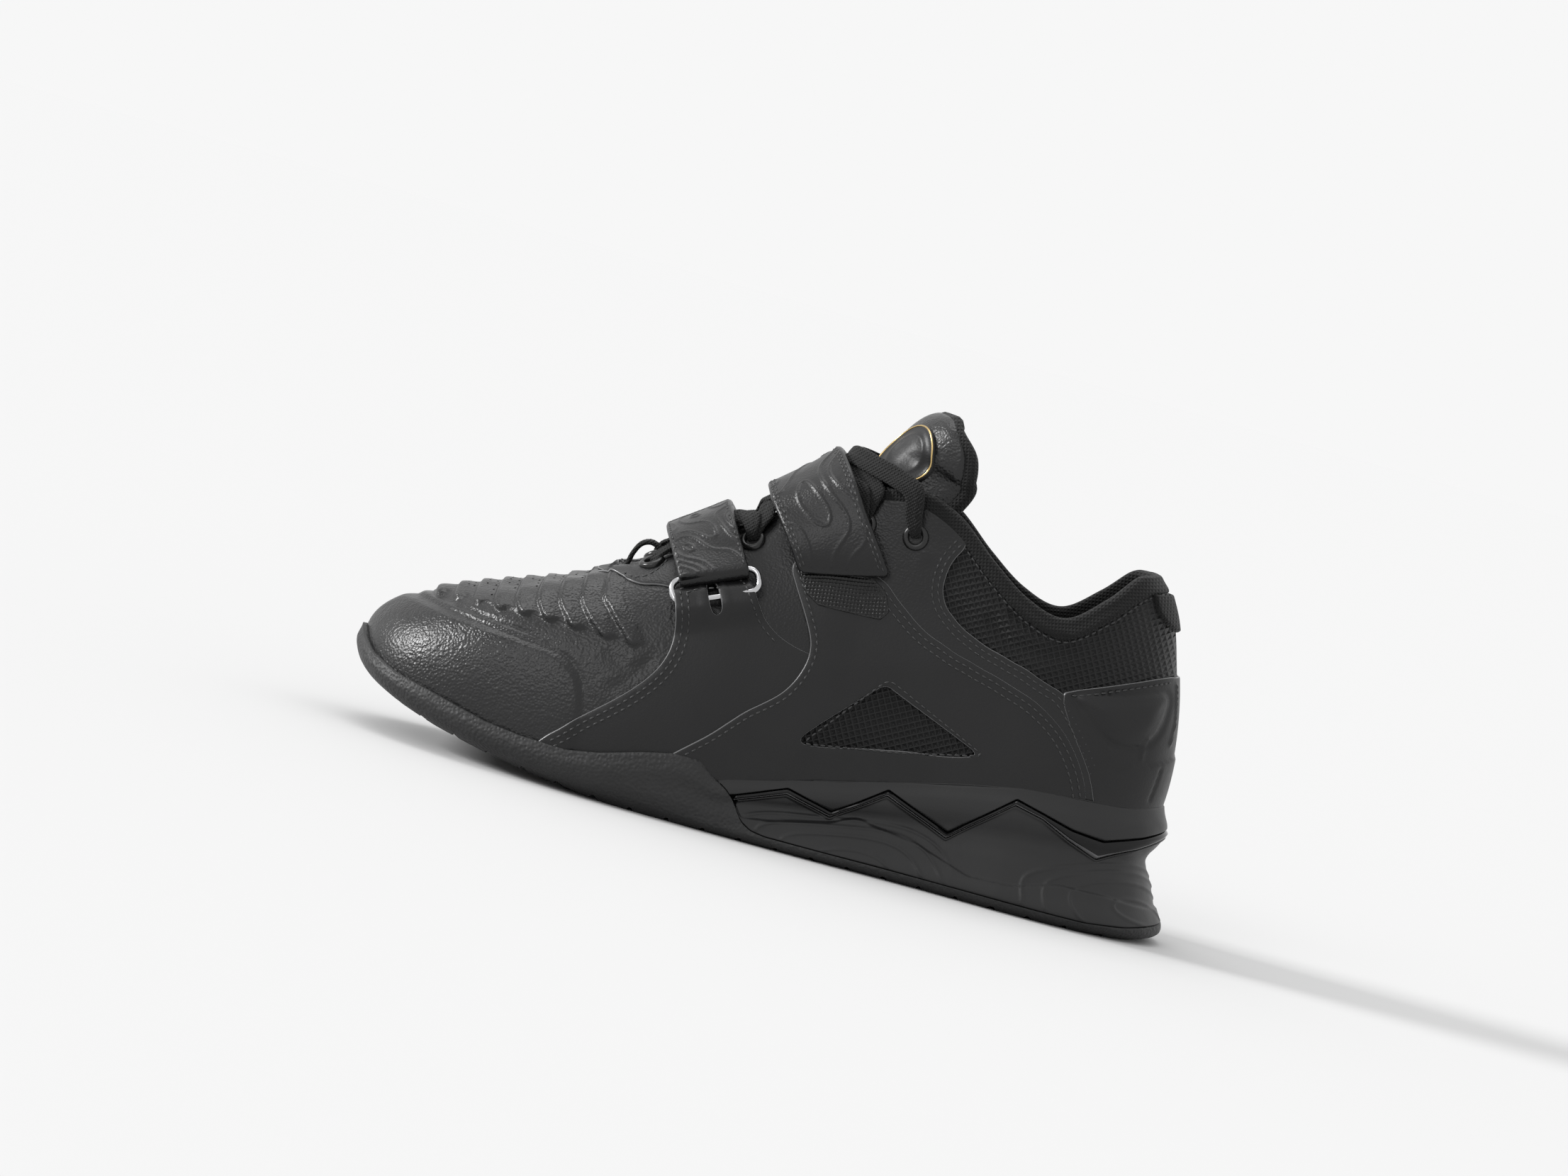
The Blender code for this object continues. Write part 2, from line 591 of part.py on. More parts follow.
def outline_prism(name, outline, low_y, high_y):
    """A prism across the shoe with the outline seen from the side, clear of the sole."""
    bm = bmesh.new()
    spots = []
    for p in outline:
        x = station(p.along)
        rim = line_height(RAND_LINE if p.along < RIM_START else CUP_LINE, x) + RIM_CLEAR
        spots.append((x, max(p.up * INSTEP_HEIGHT, rim)))
    ends = [[bm.verts.new((x, y, z)) for x, z in spots] for y in (low_y, high_y)]
    for end in ends:
        bm.faces.new(end)
    for k in range(len(outline)):
        n = (k + 1) % len(outline)
        bm.faces.new((ends[0][k], ends[0][n], ends[1][n], ends[1][k]))
    return cutter(name, bm)


def overlay(name, outline, rows, levels, sides, material, height=OVERLAY, holes=()):
    """A sewn piece cut from a layer over the upper by its outline from the side."""
    positions = [q for q in upper_positions() if rows[0] <= q <= rows[1]]
    levels = [v for v in UPPER_LEVELS if levels[0] <= v <= levels[1]]
    layers = [[[upper_point(q, v, out) for v in levels] for q in positions]
              for out in (GAP + height, GAP)]
    obj = sheet_solid(name, *layers, material)
    low_y, high_y = sides
    boolean(obj, outline_prism(name + "_cutter", outline, low_y, high_y), "INTERSECT")
    for k, hole in enumerate(holes):
        boolean(obj, outline_prism("%s_hole_%d" % (name, k), hole, low_y, high_y), "DIFFERENCE")


def build_overlays():
    moulded = finish("moulded_leather_black", (0.017, 0.017, 0.018), 0.42)
    for side, label in ((-1.0, "outer"), (1.0, "inner")):
        sides = sorted((side * 0.002, side * BALL_WIDTH))
        for name, outline, rows, holes in (("strap_base", STRAP_BASE, (5.0, 12.0), ()),
                                           ("quarter", QUARTER, (8.5, 18.5), (WINDOW,))):
            span = rows if side < 0 else (LOOP - rows[1], LOOP - rows[0])
            overlay("%s_%s" % (name, label), outline, span, (0.0, 0.91), sides, moulded,
                    holes=holes)
    both = (-BALL_WIDTH, BALL_WIDTH)
    overlay("heel_counter", COUNTER, (15.5, LOOP - 15.5), (0.0, 0.82), both, moulded)
    overlay("heel_tab", HEEL_TAB, (17.0, LOOP - 17.0), (0.56, 1.0), both,
            finish("heel_tab_black", (0.02, 0.02, 0.02), 0.6), height=2.0 * OVERLAY)


# Instep: tongue, laces and straps


def crest_point(row):
    """The middle of the instep over the throat at a rib row."""
    for low, high in zip(CRESTS, CRESTS[1:]):
        if row <= high.row:
            t = row - low.row
            return Vector((station(low.along + t * (high.along - low.along)), 0.0,
                           INSTEP_HEIGHT * (low.up + t * (high.up - low.up))))
    return None


def lid_point(row, side, share):
    """A point of the arch from the lace stay, share 0, to the crest, share 1."""
    edge = last_point(loop_position(row, side), 1.0)
    crest = crest_point(row)
    fall = (1.0 - share) ** 2
    return Vector((crest.x + (edge.x - crest.x) * fall, edge.y * (1.0 - share),
                   crest.z + (edge.z - crest.z) * fall))


INSTEP_COLUMNS = ((0.70, 0.0), (0.80, 0.0), (0.90, 0.0), (1.0, 0.0), (1.0, 0.36), (1.0, 0.70))


def instep_row(row, columns=INSTEP_COLUMNS):
    """Points across the instep, from the outer rib over the crest to the inner rib."""
    sides = []
    for side in (-1.0, 1.0):
        points = []
        for v, share in columns:
            if v == 1.0:
                points.append(lid_point(row, side, share))
            else:
                points.append(last_point(loop_position(row, side), v))
        sides.append(points)
    return sides[0] + [crest_point(row)] + sides[1][::-1]


def grid_offset(grid, distance):
    """The grid moved out along its own normals."""
    moved = []
    for i, row in enumerate(grid):
        before = grid[max(0, i - 1)]
        after = grid[min(len(grid) - 1, i + 1)]
        moved.append([])
        for k, point in enumerate(row):
            across = row[min(len(row) - 1, k + 1)] - row[max(0, k - 1)]
            moved[-1].append(point + across.cross(after[k] - before[k]).normalized() * -distance)
    return moved


# Free end of the tongue: crest and wing as shares of LENGTH and INSTEP_HEIGHT,
# half its width as a share of ANKLE_WIDTH
Leaf = namedtuple("Leaf", "crest_along crest_up wing_along wing_up half")
TONGUE_END = [Leaf(0.527, 1.095, 0.612, 1.030, 0.34), Leaf(0.538, 1.140, 0.622, 1.085, 0.37),
              Leaf(0.553, 1.190, 0.622, 1.145, 0.36), Leaf(0.568, 1.222, 0.614, 1.190, 0.32),
              Leaf(0.582, 1.240, 0.603, 1.222, 0.26)]
TONGUE_ROWS = (4.0, 5.0, 6.0, 7.0, 8.0, 9.0, 10.0, 11.0, 12.0)
TONGUE_DROP = UPPER_WALL + 2.0 * GAP


def tongue_grids():
    """The tongue's outer and inner face."""
    grid = [instep_row(row) for row in TONGUE_ROWS]
    columns = len(grid[0])
    for leaf in TONGUE_END:
        crest = Vector((station(leaf.crest_along), 0.0, leaf.crest_up * INSTEP_HEIGHT))
        wing = Vector((station(leaf.wing_along), 0.0, leaf.wing_up * INSTEP_HEIGHT))
        row = []
        for k in range(columns):
            a = 2.0 * k / (columns - 1) - 1.0
            point = crest.lerp(wing, a * a)
            point.y = leaf.half * ANKLE_WIDTH * math.sin(a * math.pi / 2.0)
            row.append(point)
        grid.append(row)
    return grid_offset(grid, -TONGUE_DROP), grid_offset(grid, -TONGUE_DROP - TONGUE_WALL)


def build_tongue():
    outer, inner = tongue_grids()
    sheet_solid("tongue", outer, inner, finish("tongue_black", (0.02, 0.02, 0.021), 0.7))


TREE_ROWS = 4               # rows for each rib, levels up it and columns over half the throat
TREE_LEVELS = 20
TREE_ARCH = 6


def instep_tree():
    """The last and the arch over its throat as a surface to lay straps on."""
    bm = bmesh.new()
    first, final = CRESTS[0].row, CRESTS[-1].row
    rows = [first + k / TREE_ROWS for k in range((final - first) * TREE_ROWS + 1)]
    arch = [(1.0, share / TREE_ARCH) for share in range(TREE_ARCH)]
    lid = [instep_row(row, arch) for row in rows]
    wall = [[last_point(k / TREE_ROWS, v / TREE_LEVELS) for v in range(TREE_LEVELS + 1)]
            for k in range(LOOP * TREE_ROWS + 1)]
    for points in (lid, wall):
        grid = [[bm.verts.new(point) for point in row] for row in points]
        for low, high in zip(grid, grid[1:]):
            for k in range(len(low) - 1):
                quad(bm, low[k], low[k + 1], high[k + 1], high[k])
    tree = BVHTree.FromBMesh(bm)
    bm.free()
    return tree


# A strap lies over the instep in tilted planes. Its hub is a point inside the
# foot, as shares of LENGTH and INSTEP_HEIGHT. Its lean is how far it goes forward,
# as a share of LENGTH, while it rises by INSTEP_HEIGHT. Half its width is a share of
# LENGTH. Its turns are degrees from level, over the top. It rises to the laces at one.
Strap = namedtuple("Strap", "hub_along hub_up lean half_width lace_turn")
LOWER_STRAP = Strap(0.430, 0.458, 0.2326, 0.0404, 44.0)
UPPER_STRAP = Strap(0.559, 0.651, 0.3015, 0.0497, 22.0)
STRAP_COLUMNS = 5
LOWER_STEP = 11.0           # degrees between rows, and how many rows
LOWER_ROWS = 16
UPPER_START = 25.0
UPPER_STEP = 10.5
UPPER_ROWS = 17
UPPER_SKEW = -9.0           # degrees that the free end is cut askew
SKEW_REACH = 60.0           # degrees over which the skew fades


def strap_axes(strap):
    up = Vector((-strap.lean * LENGTH, 0.0, INSTEP_HEIGHT)).normalized()
    along = Vector((up.z, 0.0, -up.x))
    hub = Vector((station(strap.hub_along), 0.0, strap.hub_up * INSTEP_HEIGHT))
    return hub, along, up


def strap_seat(tree, strap, turn, offset):
    """Where a ray from the strap's hub leaves the instep."""
    hub, along, up = strap_axes(strap)
    angle = math.radians(turn)
    ray = Vector((0.0, -math.cos(angle), 0.0)) + up * math.sin(angle)
    return tree.ray_cast(hub + along * offset, ray)[0]


def strap_grid(tree, strap, turns, skew=0.0):
    """Base points of a strap; skew turns the first row of one edge further."""
    grid = []
    first = turns[0]
    for turn in turns:
        row = []
        for k in range(STRAP_COLUMNS):
            share = 2.0 * k / (STRAP_COLUMNS - 1) - 1.0
            tail = max(0.0, 1.0 - abs(turn - first) / SKEW_REACH)
            row.append(strap_seat(tree, strap, turn + skew * share * tail,
                                        share * strap.half_width * LENGTH))
        grid.append(row)
    return grid


def grid_normals(grid):
    """Unit normals of a strap grid, away from the foot."""
    lifted = grid_offset(grid, 1.0)
    return [[grid[i][k] - lifted[i][k] for k in range(len(grid[0]))] for i in range(len(grid))]


STRAP_SEAT = GAP + OVERLAY + GAP        # under a strap, above the upper
LACE_SEAT = 3.8 * GAP + STAY_STEP         # under a lace, above the last
LACE_BED = LACE_SEAT + 2.0 * GAP + (1.0 + LACE_RISE) * LACE_THICKNESS
FOLD_TURN = 40.0            # where the lower strap goes through its ring, in degrees
FOLD_RADIUS = RING_WIRE + GAP + STRAP_WALL / 2.0
FOLD_STEPS = 6
TAIL_ROWS = 8               # rows of the end that is turned back, and where it closes
TAIL_CLOSE = 2.4
UNDER_HEIGHT = STRAP_SEAT + STRAP_WALL / 2.0
BAR_HEIGHT = UNDER_HEIGHT + FOLD_RADIUS
RING_LENGTH = 0.0325
RING_CORNER = 0.0028
RING_DEPTH = 0.0110
RING_STEPS = 4              # points round each corner


def lace_share(strap, turn):
    """1 where a strap lies on the laces, 0 down the sides."""
    return ease(strap.lace_turn, strap.lace_turn + 20.0, min(turn, 180.0 - turn))


def lower_strap_rows(tree):
    """The lower strap's middle: up the inner side, over, round the bar and back."""
    turns = [FOLD_TURN + LOWER_STEP * k for k in range(LOWER_ROWS)]
    grid = strap_grid(tree, LOWER_STRAP, turns)
    normals = grid_normals(grid)
    rows = []
    for i in range(len(turns) - 1, 0, -1):
        height = UNDER_HEIGHT + (LACE_BED - STRAP_SEAT) * lace_share(LOWER_STRAP, turns[i])
        rows.append([grid[i][k] + normals[i][k] * height for k in range(STRAP_COLUMNS)])
    normal = normals[0][STRAP_COLUMNS // 2]
    along = (grid[0][-1] - grid[0][0]).normalized()
    up = normal.cross(along)
    up = up if up.z > 0.0 else -up
    middle = grid[0][STRAP_COLUMNS // 2] + normal * BAR_HEIGHT
    half = STRAP_COLUMNS // 2
    bar = [middle + along * LOWER_STRAP.half_width * LENGTH * (k - half) / half
           for k in range(STRAP_COLUMNS)]
    for step in range(FOLD_STEPS):
        angle = math.pi * step / (FOLD_STEPS - 1)
        shift = normal * FOLD_RADIUS * math.cos(angle) + up * FOLD_RADIUS * math.sin(angle)
        rows.append([point - shift for point in bar])
    for i in range(1, TAIL_ROWS):
        close = ease(0.0, TAIL_CLOSE, i)
        height = UNDER_HEIGHT + (LACE_BED - STRAP_SEAT) * lace_share(LOWER_STRAP, turns[i])
        top = (BAR_HEIGHT + FOLD_RADIUS) * (1.0 - close) + (height + STRAP_WALL + GAP) * close
        rows.append([grid[i][k] + normals[i][k] * top for k in range(STRAP_COLUMNS)])
    return rows, middle, along, up, normal


def build_straps(tree):
    webbing = finish("strap_black", (0.02, 0.02, 0.021), 0.45)
    rows, *bar = lower_strap_rows(tree)
    ribbon_solid("lower_strap", rows, STRAP_WALL, webbing)
    build_ring(*bar)
    turns = [UPPER_START + UPPER_STEP * k for k in range(UPPER_ROWS)]
    grid = strap_grid(tree, UPPER_STRAP, turns, skew=UPPER_SKEW)
    normals = grid_normals(grid)
    rows = []
    for i, turn in enumerate(turns):
        height = UNDER_HEIGHT + (LACE_BED + STRAP_WALL - STRAP_SEAT) * lace_share(UPPER_STRAP, turn)
        rows.append([grid[i][k] + normals[i][k] * height for k in range(STRAP_COLUMNS)])
    ribbon_solid("upper_strap", rows, STRAP_WALL, webbing)


def build_ring(bar, along, up, normal):
    """The oblong wire ring, with its upper bar in the strap's fold."""
    drop = (BAR_HEIGHT - STRAP_SEAT - RING_WIRE) / RING_DEPTH
    away = (-up - normal * drop).normalized()
    middle = bar + away * (RING_DEPTH / 2.0 - RING_WIRE)
    reach = RING_LENGTH / 2.0 - RING_WIRE
    half = RING_DEPTH / 2.0 - RING_WIRE
    points = []
    for corner, (east, north) in enumerate(((1, 1), (-1, 1), (-1, -1), (1, -1))):
        for step in range(RING_STEPS):
            angle = math.pi / 2.0 * (corner + step / (RING_STEPS - 1))
            points.append(middle
                          + along * (east * (reach - RING_CORNER) + RING_CORNER * math.cos(angle))
                          + away * (north * (half - RING_CORNER) + RING_CORNER * math.sin(angle)))
    curve = bpy.data.curves.new("strap_ring", "CURVE")
    curve.dimensions = "3D"
    curve.bevel_depth = RING_WIRE
    curve.bevel_resolution = 1
    spline = curve.splines.new("POLY")
    spline.points.add(len(points) - 1)
    for point, place in zip(spline.points, points):
        point.co = (*place, 1.0)
    spline.use_cyclic_u = True
    ring = bpy.data.objects.new("strap_ring", curve)
    PARTS.objects.link(ring)
    curve.materials.append(finish("polished_steel", (0.62, 0.62, 0.63), 0.15, 1.0))


# Lacing: rib rows of the eyelets and their share up the rib
Eyelet = namedtuple("Eyelet", "row v")
EYELETS = [Eyelet(6.3, 0.90), Eyelet(7.7, 0.905), Eyelet(9.1, 0.905), Eyelet(10.4, 0.905),
           Eyelet(11.7, 0.90), Eyelet(13.0, 0.865)]
EYELET_SIDES = 8


def build_eyelets():
    metal = finish("eyelet_black", (0.03, 0.03, 0.03), 0.35, 0.6)
    for side, label in ((-1.0, "outer"), (1.0, "inner")):
        for k, eyelet in enumerate(EYELETS):
            position = loop_position(eyelet.row, side)
            normal = last_normal(position, eyelet.v)
            place = upper_point(position, eyelet.v, EYELET_SEAT)
            across = normal.orthogonal().normalized()
            other = normal.cross(across)
            rings = []
            for radius, lift in ((EYELET_HOLE, 0.0), (EYELET_RADIUS, 0.0),
                                 (EYELET_RADIUS * 0.86, EYELET_HEIGHT),
                                 (EYELET_HOLE * 1.2, EYELET_HEIGHT)):
                ring = []
                for step in range(EYELET_SIDES):
                    turn = math.tau * step / EYELET_SIDES
                    ring.append(place + normal * lift + across * radius * math.cos(turn)
                                + other * radius * math.sin(turn))
                rings.append(ring)
            bm = bmesh.new()
            verts = [[bm.verts.new(p) for p in ring] for ring in rings]
            for a in range(4):
                for b in range(EYELET_SIDES):
                    n = (b + 1) % EYELET_SIDES
                    quad(bm, verts[a][b], verts[a][n], verts[(a + 1) % 4][n],
                         verts[(a + 1) % 4][b])
            mesh_object("eyelet_%s_%d" % (label, k + 1), bm, metal)


# A lace's way across: share up the rib to the stay's edge, then on to the crest
LACE_WAY = (0.985, 1.06, 1.28, 1.62)
LACE_START = 0.27           # share of the way between two eyelets where a lace starts


def instep_point(row, side, way):
    """A point up the rib for a way below 1, and over the throat from 1 to the crest at 2."""
    if way <= 1.0:
        return last_point(loop_position(row, side), way)
    return lid_point(row, side, way - 1.0)


def instep_normal(row, side, way):
    step = 0.04
    across = (instep_point(row, side, min(2.0, way + step)) - instep_point(row, side, way - step))
    along = instep_point(row + step, side, way) - instep_point(row - step, side, way)
    normal = across.cross(along)
    return (-normal if normal.z < 0.0 else normal).normalized()


def lace_strip(lower, upper, side, height):
    """The middle of a lace from one side's lower eyelet to the other's upper one."""
    route = [(side, way) for way in LACE_WAY] + [(side, 2.0)]
    route += [(-side, way) for way in LACE_WAY[::-1]]
    places = []
    for k, (edge, way) in enumerate(route):
        share = LACE_START + (1.0 - 2.0 * LACE_START) * k / (len(route) - 1)
        row = lower.row + (upper.row - lower.row) * share
        normal = instep_normal(row, edge, way)
        places.append((instep_point(row, edge, way) + normal * height, normal))
    strip = []
    for k, (place, normal) in enumerate(places):
        run = places[min(len(places) - 1, k + 1)][0] - places[max(0, k - 1)][0]
        across = normal.cross(run).normalized() * LACE_WIDTH / 2.0
        strip.append([place - across, place + across])
    return strip


def build_laces():
    lace = finish("lace_black", (0.02, 0.02, 0.02), 0.85)
    height = LACE_SEAT + LACE_THICKNESS / 2.0
    for k, (lower, upper) in enumerate(zip(EYELETS, EYELETS[1:])):
        first = ribbon_solid("lace_cross_%d" % (k + 1), lace_strip(lower, upper, -1.0, height),
                             LACE_THICKNESS, lace)
        second = ribbon_solid("lace_under_%d" % (k + 1),
                              lace_strip(lower, upper, 1.0, height + LACE_THICKNESS * LACE_RISE),
                              LACE_THICKNESS, lace)
        PARTS.objects.unlink(second)
        CUTTERS.objects.link(second)
        second.hide_render = True
        second.display_type = "WIRE"
        boolean(first, second, "UNION")


# The loop at the foot of the throat that keeps the laces, from the vamp to the tongue
LOOP_PATH = [Spot(0.2707, 0.5725), Spot(0.2780, 0.5832), Spot(0.2845, 0.605), Spot(0.2880, 0.635),
             Spot(0.2940, 0.662), Spot(0.3020, 0.674), Spot(0.3085, 0.669), Spot(0.3112, 0.661)]

def build_lace_loop():
    middle = [[Vector((station(p.along), y, p.up * INSTEP_HEIGHT))
               for y in (-LOOP_WIDTH / 2.0, 0.0, LOOP_WIDTH / 2.0)] for p in LOOP_PATH]
    ribbon_solid("lace_loop", middle, LOOP_THICKNESS, finish("loop_black", (0.02, 0.02, 0.02), 0.8))


# The badge lies on the outer half of the tongue: height share of INSTEP_HEIGHT,
# and the direction it faces in degrees from straight ahead towards the outer side
BADGE_UP = 1.098
BADGE_ALONG = 0.549
BADGE_TURN = 38.0
BADGE_TILT = 24.0
BADGE_SIDE = -0.014         # Y of its middle
BADGE_SIDES = 20
BADGE_RINGS = (0.35, 0.75, 1.0)
BADGE_THICKNESS = 0.0011


def build_badge():
    outer, inner = tongue_grids()
    bm = bmesh.new()
    grid = [[bm.verts.new(p) for p in row] for row in outer]
    for i in range(len(grid) - 1):
        for k in range(len(grid[0]) - 1):
            quad(bm, grid[i][k], grid[i][k + 1], grid[i + 1][k + 1], grid[i + 1][k])
    tree = BVHTree.FromBMesh(bm)
    bm.free()
    turn = math.radians(BADGE_TURN)
    tilt = math.radians(BADGE_TILT)
    facing = Vector((-math.cos(turn) * math.cos(tilt), -math.sin(turn) * math.cos(tilt),
                     math.sin(tilt)))
    across = facing.cross(Vector((0.0, 0.0, 1.0))).normalized()
    up = across.cross(facing)
    middle = Vector((station(BADGE_ALONG), BADGE_SIDE, BADGE_UP * INSTEP_HEIGHT))
    top, under = [], []
    for radius in BADGE_RINGS:
        top.append([])
        under.append([])
        for step in range(BADGE_SIDES):
            angle = math.tau * step / BADGE_SIDES
            spoke = across * math.cos(angle) + up * math.sin(angle)
            start = middle + spoke * radius * BADGE_RADIUS + facing * BALL_WIDTH
            hit = tree.ray_cast(start, -facing)[0] + facing * 3.0 * GAP
            top[-1].append(hit + facing * BADGE_THICKNESS)
            under[-1].append(hit)
    bm = bmesh.new()
    faces = [[[bm.verts.new(p) for p in ring] for ring in rings] for rings in (top, under)]
    for rings in faces:
        bm.faces.new(rings[0])
        for low, high in zip(rings, rings[1:]):
            for b in range(BADGE_SIDES):
                n = (b + 1) % BADGE_SIDES
                quad(bm, low[b], low[n], high[n], high[b])
    for b in range(BADGE_SIDES):
        n = (b + 1) % BADGE_SIDES
        quad(bm, faces[0][-1][b], faces[0][-1][n], faces[1][-1][n], faces[1][-1][b])
    mesh_object("tongue_badge", bm, finish("badge_gold", (0.66, 0.50, 0.26), 0.3, 1.0))


def build_toe_ribs():
    """Rounded cross ribs over the toe, one band on the vamp."""
    bm = bmesh.new()
    grid = [[bm.verts.new(upper_point(q, v)) for v in UPPER_LEVELS]
            for q in [-row for row in ROWS[:0:-1]] + ROWS]
    for i in range(len(grid) - 1):
        for k in range(len(grid[0]) - 1):
            quad(bm, grid[i][k], grid[i][k + 1], grid[i + 1][k + 1], grid[i + 1][k])
    bm.normal_update()
    tree = BVHTree.FromBMesh(bm)
    bm.free()
    top, under = [], []
    count = TOE_RIBS * 3
    for i in range(count + 1):
        t = i / count
        half = TOE_RIB_HALF * (1.0 - 0.25 * (1.0 - t) ** 2)
        row_top, row_under = [], []
        for k in range(9):
            a = k / 4.0 - 1.0
            x = station(TOE_RIB_START + (TOE_RIB_END - TOE_RIB_START) * t + TOE_RIB_SWEEP * a * a)
            y = BALL_WIDTH * (TOE_RIB_MIDDLE + half * a)
            hit, normal = tree.ray_cast(Vector((x, y, LENGTH)), Vector((0.0, 0.0, -1.0)))[:2]
            normal = normal if normal.z > 0.0 else -normal
            rise = TOE_RIB_HEIGHT * (TOE_RIB_VALLEY if i % 3 == 0 else 1.0)
            row_top.append(hit + normal * (TOE_RIB_SEAT + rise * (1.0 - 0.6 * a ** 4)))
            row_under.append(hit + normal * TOE_RIB_SEAT)
        top.append(row_top)
        under.append(row_under)
    sheet_solid("toe_ribs", top, under, bpy.data.materials["leather_black"])


for old in list(bpy.data.objects):
    bpy.data.objects.remove(old, do_unlink=True)
PARTS = bpy.data.collections.new("weightlifting_shoe")
CUTTERS = bpy.data.collections.new("cutters")
for collection in (PARTS, CUTTERS):
    bpy.context.scene.collection.children.link(collection)

build_sole()
build_insole()
build_upper()
build_overlays()
build_toe_ribs()
build_tongue()
INSTEP = instep_tree()
build_straps(INSTEP)
build_eyelets()
build_laces()
build_lace_loop()
build_badge()
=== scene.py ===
"""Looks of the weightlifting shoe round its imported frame.

The toe points to -X, the outer side of the foot to -Y. Tables hold millimetres
seen from the outer side, along and up from the ground under the heel.
"""
import math

import bpy
import numpy as np
from mathutils import Matrix, Vector
from mathutils.bvhtree import BVHTree
from mathutils.geometry import delaunay_2d_cdt


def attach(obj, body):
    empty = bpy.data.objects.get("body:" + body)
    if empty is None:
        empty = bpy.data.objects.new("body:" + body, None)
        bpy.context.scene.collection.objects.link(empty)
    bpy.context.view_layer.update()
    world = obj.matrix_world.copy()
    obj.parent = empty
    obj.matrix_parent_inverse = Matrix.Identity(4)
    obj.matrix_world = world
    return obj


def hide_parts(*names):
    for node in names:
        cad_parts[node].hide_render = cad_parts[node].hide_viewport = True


LENGTH = 0.302
TOE_TIP = -0.260
BALL_WIDTH = 0.100
ANKLE_WIDTH = 0.063
INSTEP_HEIGHT = 0.131
HEEL_RISE = 0.042
HEEL_CUP = 0.048
HEEL_FLARE = 0.0136
RAND_BULGE = 0.0035
UPPER_WALL = 0.0026
GAP = 0.0003
MM = 0.001

# Ribs of the last, toe to heel: foot along, outer, inner, up; low handle out and up;
# edge along, out, up; high handle in and down. Shares, as in the part's own source.
RIBS = np.array([
    (0.0120, -0.080, 0.080, 0.738, 0.004, 0.43, 0.2780, 0.000, 0.572, 0.52, 0.38),
    (0.0160, -0.005, 0.165, 0.708, 0.006, 0.43, 0.2785, 0.048, 0.573, 0.52, 0.36),
    (0.0285, 0.105, 0.250, 0.625, 0.008, 0.44, 0.2810, 0.095, 0.576, 0.52, 0.34),
    (0.0500, 0.205, 0.320, 0.538, 0.012, 0.46, 0.2855, 0.135, 0.584, 0.53, 0.31),
    (0.0850, 0.295, 0.375, 0.467, 0.018, 0.48, 0.2935, 0.163, 0.599, 0.54, 0.27),
    (0.1350, 0.375, 0.420, 0.412, 0.024, 0.48, 0.3060, 0.182, 0.622, 0.55, 0.23),
    (0.2000, 0.440, 0.460, 0.338, 0.028, 0.46, 0.3255, 0.195, 0.653, 0.55, 0.20),
    (0.2650, 0.485, 0.485, 0.314, 0.028, 0.44, 0.3510, 0.206, 0.691, 0.55, 0.18),
    (0.3300, 0.508, 0.480, 0.333, 0.024, 0.42, 0.3825, 0.219, 0.740, 0.54, 0.19),
    (0.3950, 0.500, 0.440, 0.369, 0.018, 0.40, 0.4190, 0.235, 0.801, 0.53, 0.22),
    (0.4550, 0.470, 0.390, 0.424, 0.012, 0.38, 0.4585, 0.262, 0.866, 0.52, 0.26),
    (0.5150, 0.435, 0.352, 0.548, 0.010, 0.36, 0.5015, 0.302, 0.927, 0.50, 0.31),
    (0.5750, 0.400, 0.328, 0.643, 0.010, 0.35, 0.5480, 0.357, 0.975, 0.46, 0.35),
    (0.6300, 0.375, 0.320, 0.738, 0.012, 0.34, 0.5925, 0.413, 1.000, 0.38, 0.36),
    (0.6850, 0.362, 0.325, 0.833, 0.014, 0.34, 0.6420, 0.460, 0.966, 0.30, 0.36),
    (0.7400, 0.356, 0.332, 0.919, 0.016, 0.34, 0.6940, 0.492, 0.874, 0.22, 0.36),
    (0.7950, 0.350, 0.336, 0.983, 0.018, 0.34, 0.7430, 0.500, 0.803, 0.20, 0.36),
    (0.8480, 0.328, 0.320, 1.000, 0.022, 0.34, 0.7910, 0.484, 0.779, 0.25, 0.36),
    (0.8930, 0.283, 0.283, 1.000, 0.028, 0.33, 0.8330, 0.429, 0.855, 0.48, 0.34),
    (0.9280, 0.212, 0.212, 1.000, 0.032, 0.31, 0.8620, 0.318, 0.931, 0.66, 0.31),
    (0.9490, 0.115, 0.115, 1.000, 0.034, 0.29, 0.8790, 0.182, 0.946, 0.78, 0.29),
    (0.9560, 0.000, 0.000, 1.000, 0.034, 0.28, 0.8870, 0.000, 0.948, 0.82, 0.28)])
HEEL_ROW = len(RIBS) - 1
LOOP = 2 * HEEL_ROW

# Crest of the instep over the throat: rib row, along, up
CRESTS = np.array([
    (4, 0.2925, 0.602), (5, 0.3045, 0.628), (6, 0.3225, 0.661), (7, 0.3465, 0.702),
    (8, 0.3765, 0.752), (9, 0.4100, 0.813), (10, 0.4445, 0.880), (11, 0.4785, 0.948),
    (12, 0.5060, 1.013), (13, 0.5200, 1.075)])


def ease(low, high, value):
    t = np.clip((np.asarray(value, float) - low) / (high - low), 0.0, 1.0)
    return t * t * (3.0 - 2.0 * t)


def unit(v):
    return v / np.maximum(np.linalg.norm(v, axis=-1, keepdims=True), 1e-12)


def run_along(points):
    """Distance run along a line of points."""
    return np.concatenate([[0.0], np.cumsum(np.linalg.norm(np.diff(points, axis=0), axis=1))])


def smooth(values, position):
    """A closed Catmull-Rom curve through rows of values, read at row positions."""
    position = np.asarray(position, float)
    base = np.floor(position).astype(int)
    t = (position - base)[..., None]
    a, b, c, d = (values[(base + k) % len(values)] for k in (-1, 0, 1, 2))
    return 0.5 * (2 * b + (c - a) * t + (2 * a - 5 * b + 4 * c - d) * t * t
                  + (3 * b - a - 3 * c + d) * t ** 3)


